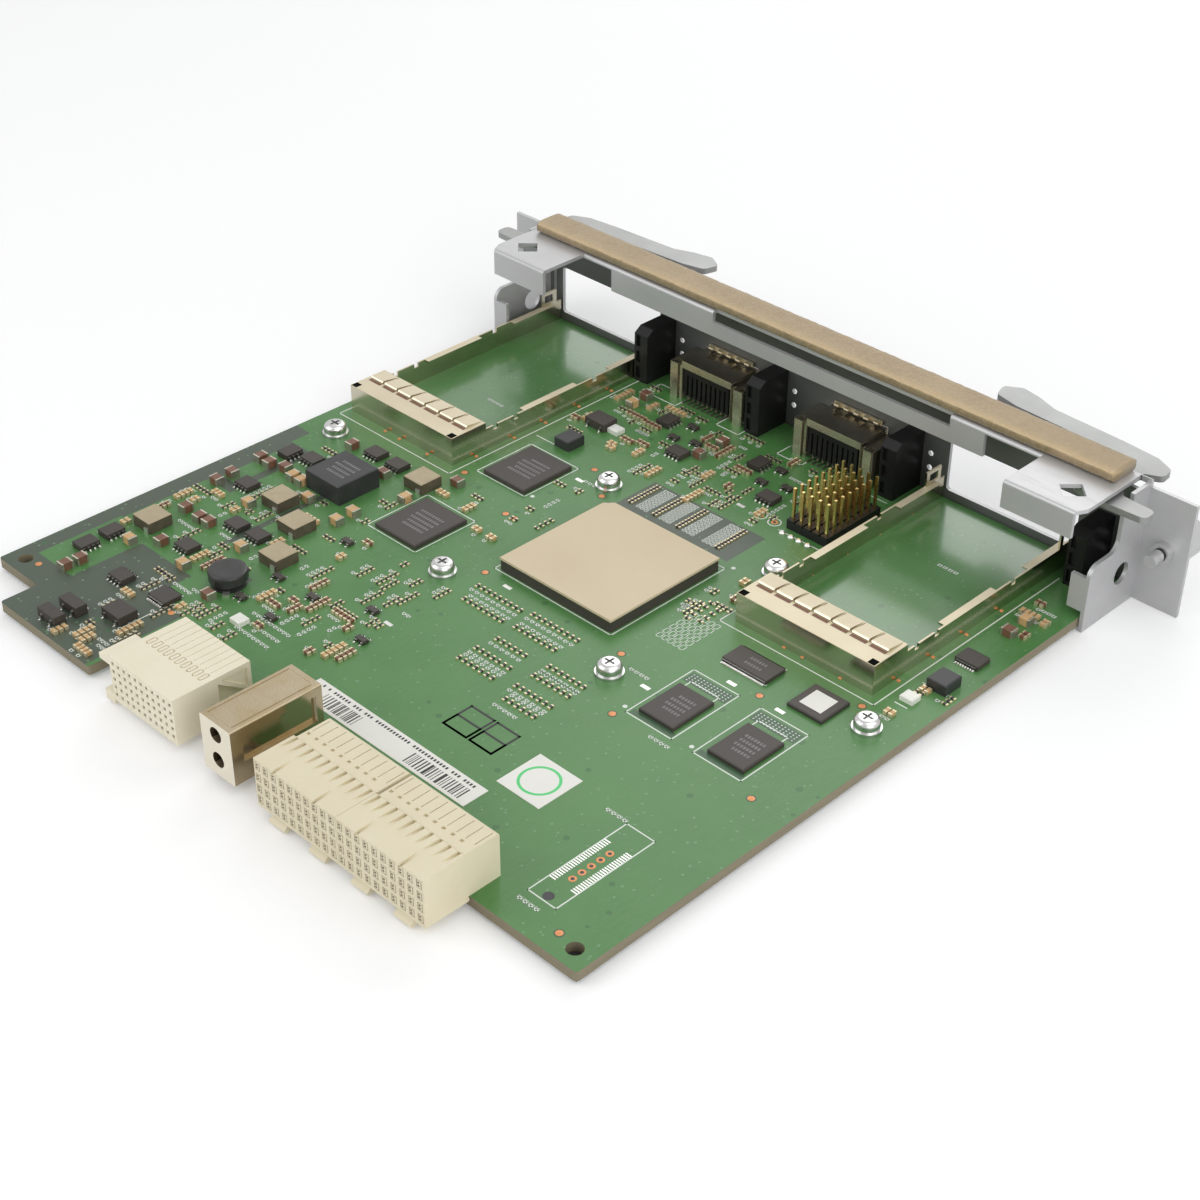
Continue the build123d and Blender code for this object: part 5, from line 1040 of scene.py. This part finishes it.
# faint print on the moulded tops, in plain ticks
tickShapes = []
for nodeName, rowCount, margin in (("interface_chip_1", 5, 0.0), ("interface_chip_2", 5, 0.0),
        ("memory_chip_1", 4, 0.0), ("memory_chip_2", 4, 0.0), ("buffer_chip", 2, 1.6),
        ("power_module", 4, 0.0)):
    low, high = boxOf(nodeName)
    low, high = low + margin, high - np.array([margin, margin, 0.0])
    for row in range(rowCount):
        y = low[1] + (high[1] - low[1]) * (0.3 + 0.4 * row / max(1, rowCount - 1))
        ticks = np.arange(low[0] + (high[0] - low[0]) * 0.22,
            high[0] - (high[0] - low[0]) * rng.uniform(0.2, 0.35), 0.8)
        tickShapes.append(blocks(rowAt(ticks, y), (0.5, 0.85, 0.012), base=high[2] - 0.002))
makePiece("topMarks", tickShapes, "chipMark")

# label bars, the sticker's plain ring, the boot label and the stamped boxes
labelLow, labelHigh = boxOf("board_label")
barX = labelLow[0] + 2.0 + np.cumsum(rng.uniform(0.35, 0.95, 64))
barX = barX[(barX < labelLow[0] + 19) | (barX > labelHigh[0] - 17)]
barX = barX[barX < labelHigh[0] - 1.5]
barSizes = np.column_stack(
    [rng.uniform(0.14, 0.4, len(barX)), np.full(len(barX), 3.6), np.full(len(barX), 0.012)])
tickX = np.arange(labelLow[0] + 2.0, labelHigh[0] - 2.0, 0.9)
tickX = tickX[rng.random(len(tickX)) < 0.75]
makePiece("labelBars", [
    blocks(rowAt(barX, labelHigh[1] - 2.6), barSizes, base=labelHigh[2]),
    blocks(rowAt(tickX, labelLow[1] + 1.2), (0.5, 0.75, 0.012), base=labelHigh[2]),
], "barInk")
stickerLow, stickerHigh = boxOf("square_sticker")
stickerMiddle = (stickerLow[:2] + stickerHigh[:2]) / 2
makePiece("stickerRing", [flatRings([stickerMiddle], 3.95, 4.6, 0.012, base=stickerHigh[2], sides=64)],
    "greenInk")
bootLow, bootHigh = boxOf("boot_chip")
makePiece("bootLabel",
    [blocks([(bootLow[:2] + bootHigh[:2]) / 2], (5.8, 5.8, 0.06), base=bootHigh[2] - 0.01)], "label_paper")
stampBoxes = rectangleRuns(
    [(56.5, -39.5, 63.0, -31.5), (64.0, -39.5, 71.0, -31.5), (56.5, -35.5, 63.0, -31.5),
        (64.0, -35.5, 71.0, -31.5)])
makePiece("stampedBoxes", [strips(stampBoxes, width=0.55, height=0.03)], "barInk")
print("pads, rings, marks and labels done")


# camera, floor and light
cameraLook = {
    "place": (-0.2873, 0.3678, 0.2706),
    "right": (-0.70986, -0.70431, 0.00674),
    "down": (-0.40406, 0.39937, -0.82294),
    "forward": (0.57692, -0.58690, -0.56808),
    "lens": 63.08,
}
camera = addToScene("camera", bpy.data.cameras.new("camera"))
axes = Matrix(
    (cameraLook["right"], [-v for v in cameraLook["down"]], [-v for v in cameraLook["forward"]])).transposed()
camera.matrix_world = Matrix.Translation(cameraLook["place"]) @ axes.to_4x4()
camera.data.lens = cameraLook["lens"]
camera.data.sensor_width = 36.0
camera.data.clip_start = 0.01
bpy.context.scene.camera = camera

floorLook = {"level": -0.0011, "half": 3.0, "colour": (0.90, 0.90, 0.90), "lift": 0.16}
floorMesh = bpy.data.meshes.new("floor")
half = floorLook["half"]
floorMesh.from_pydata([(-half, -half, 0), (half, -half, 0), (half, half, 0), (-half, half, 0)], [],
    [(0, 1, 2, 3)])
floorMesh.transform(Matrix.Translation((0, 0, floorLook["level"])))
floor = addToScene("floor", floorMesh)
floorMaterial, floorTree, floorShader = newMaterial("floorPaint")[:3]
floorPath = addNode(floorTree, "ShaderNodeLightPath")
floorGlow = mathNode(floorTree, "MULTIPLY", floorPath.outputs["Is Camera Ray"], floorLook["lift"])
fillSockets(floorTree, floorShader,
    {"Base Color": (*floorLook["colour"], 1.0), "Roughness": 0.9, "Emission Color": (1.0, 1.0, 1.0, 1.0),
        "Emission Strength": floorGlow})
floorMesh.materials.append(floorMaterial)

worldLook = {"colour": (0.93, 0.94, 0.95), "strength": 0.42, "seen": 1.0}
world = bpy.data.worlds.new("studio")
bpy.context.scene.world = world
world.use_nodes = True
worldTree = world.node_tree
background = worldTree.nodes["Background"]
fillSockets(worldTree, background, {"Color": (*worldLook["colour"], 1.0), "Strength": worldLook["strength"]})
whiteSky = addNode(worldTree, "ShaderNodeBackground")
whiteSky.inputs["Strength"].default_value = worldLook["seen"]
lightPath = addNode(worldTree, "ShaderNodeLightPath")
seen = mathNode(worldTree, "MAXIMUM", lightPath.outputs["Is Camera Ray"],
    lightPath.outputs["Is Transmission Ray"])
seen = mathNode(worldTree, "MAXIMUM", seen, lightPath.outputs["Is Glossy Ray"])
mixSky = addNode(worldTree, "ShaderNodeMixShader")
worldTree.links.new(seen, mixSky.inputs[0])
worldTree.links.new(background.outputs[0], mixSky.inputs[1])
worldTree.links.new(whiteSky.outputs[0], mixSky.inputs[2])
worldTree.links.new(mixSky.outputs[0], worldTree.nodes["World Output"].inputs["Surface"])

lamps = {
    "keyLamp": {"place": (-0.55, 0.05, 0.75), "size": 1.0, "power": 3.1},
    "fillLamp": {"place": (0.45, 0.75, 0.55), "size": 0.8, "power": 2.9},
    "sideLamp": {"place": (-0.85, 0.45, 0.25), "size": 0.7, "power": 2.8},
    "backLamp": {"place": (0.35, -0.65, 0.6), "size": 0.7, "power": 2.4},
}
aim = Vector((0, 0.08, 0))
for lampName, lamp in lamps.items():
    lampData = bpy.data.lights.new(lampName, "AREA")
    lampData.energy = lamp["power"]
    lampData.size = lamp["size"]
    lampObject = addToScene(lampName, lampData)
    lampObject.location = lamp["place"]
    lampObject.rotation_euler = (aim - Vector(lamp["place"])).to_track_quat("-Z", "Y").to_euler()

bpy.context.scene.view_settings.view_transform = "Standard"
print("camera, floor and light set")
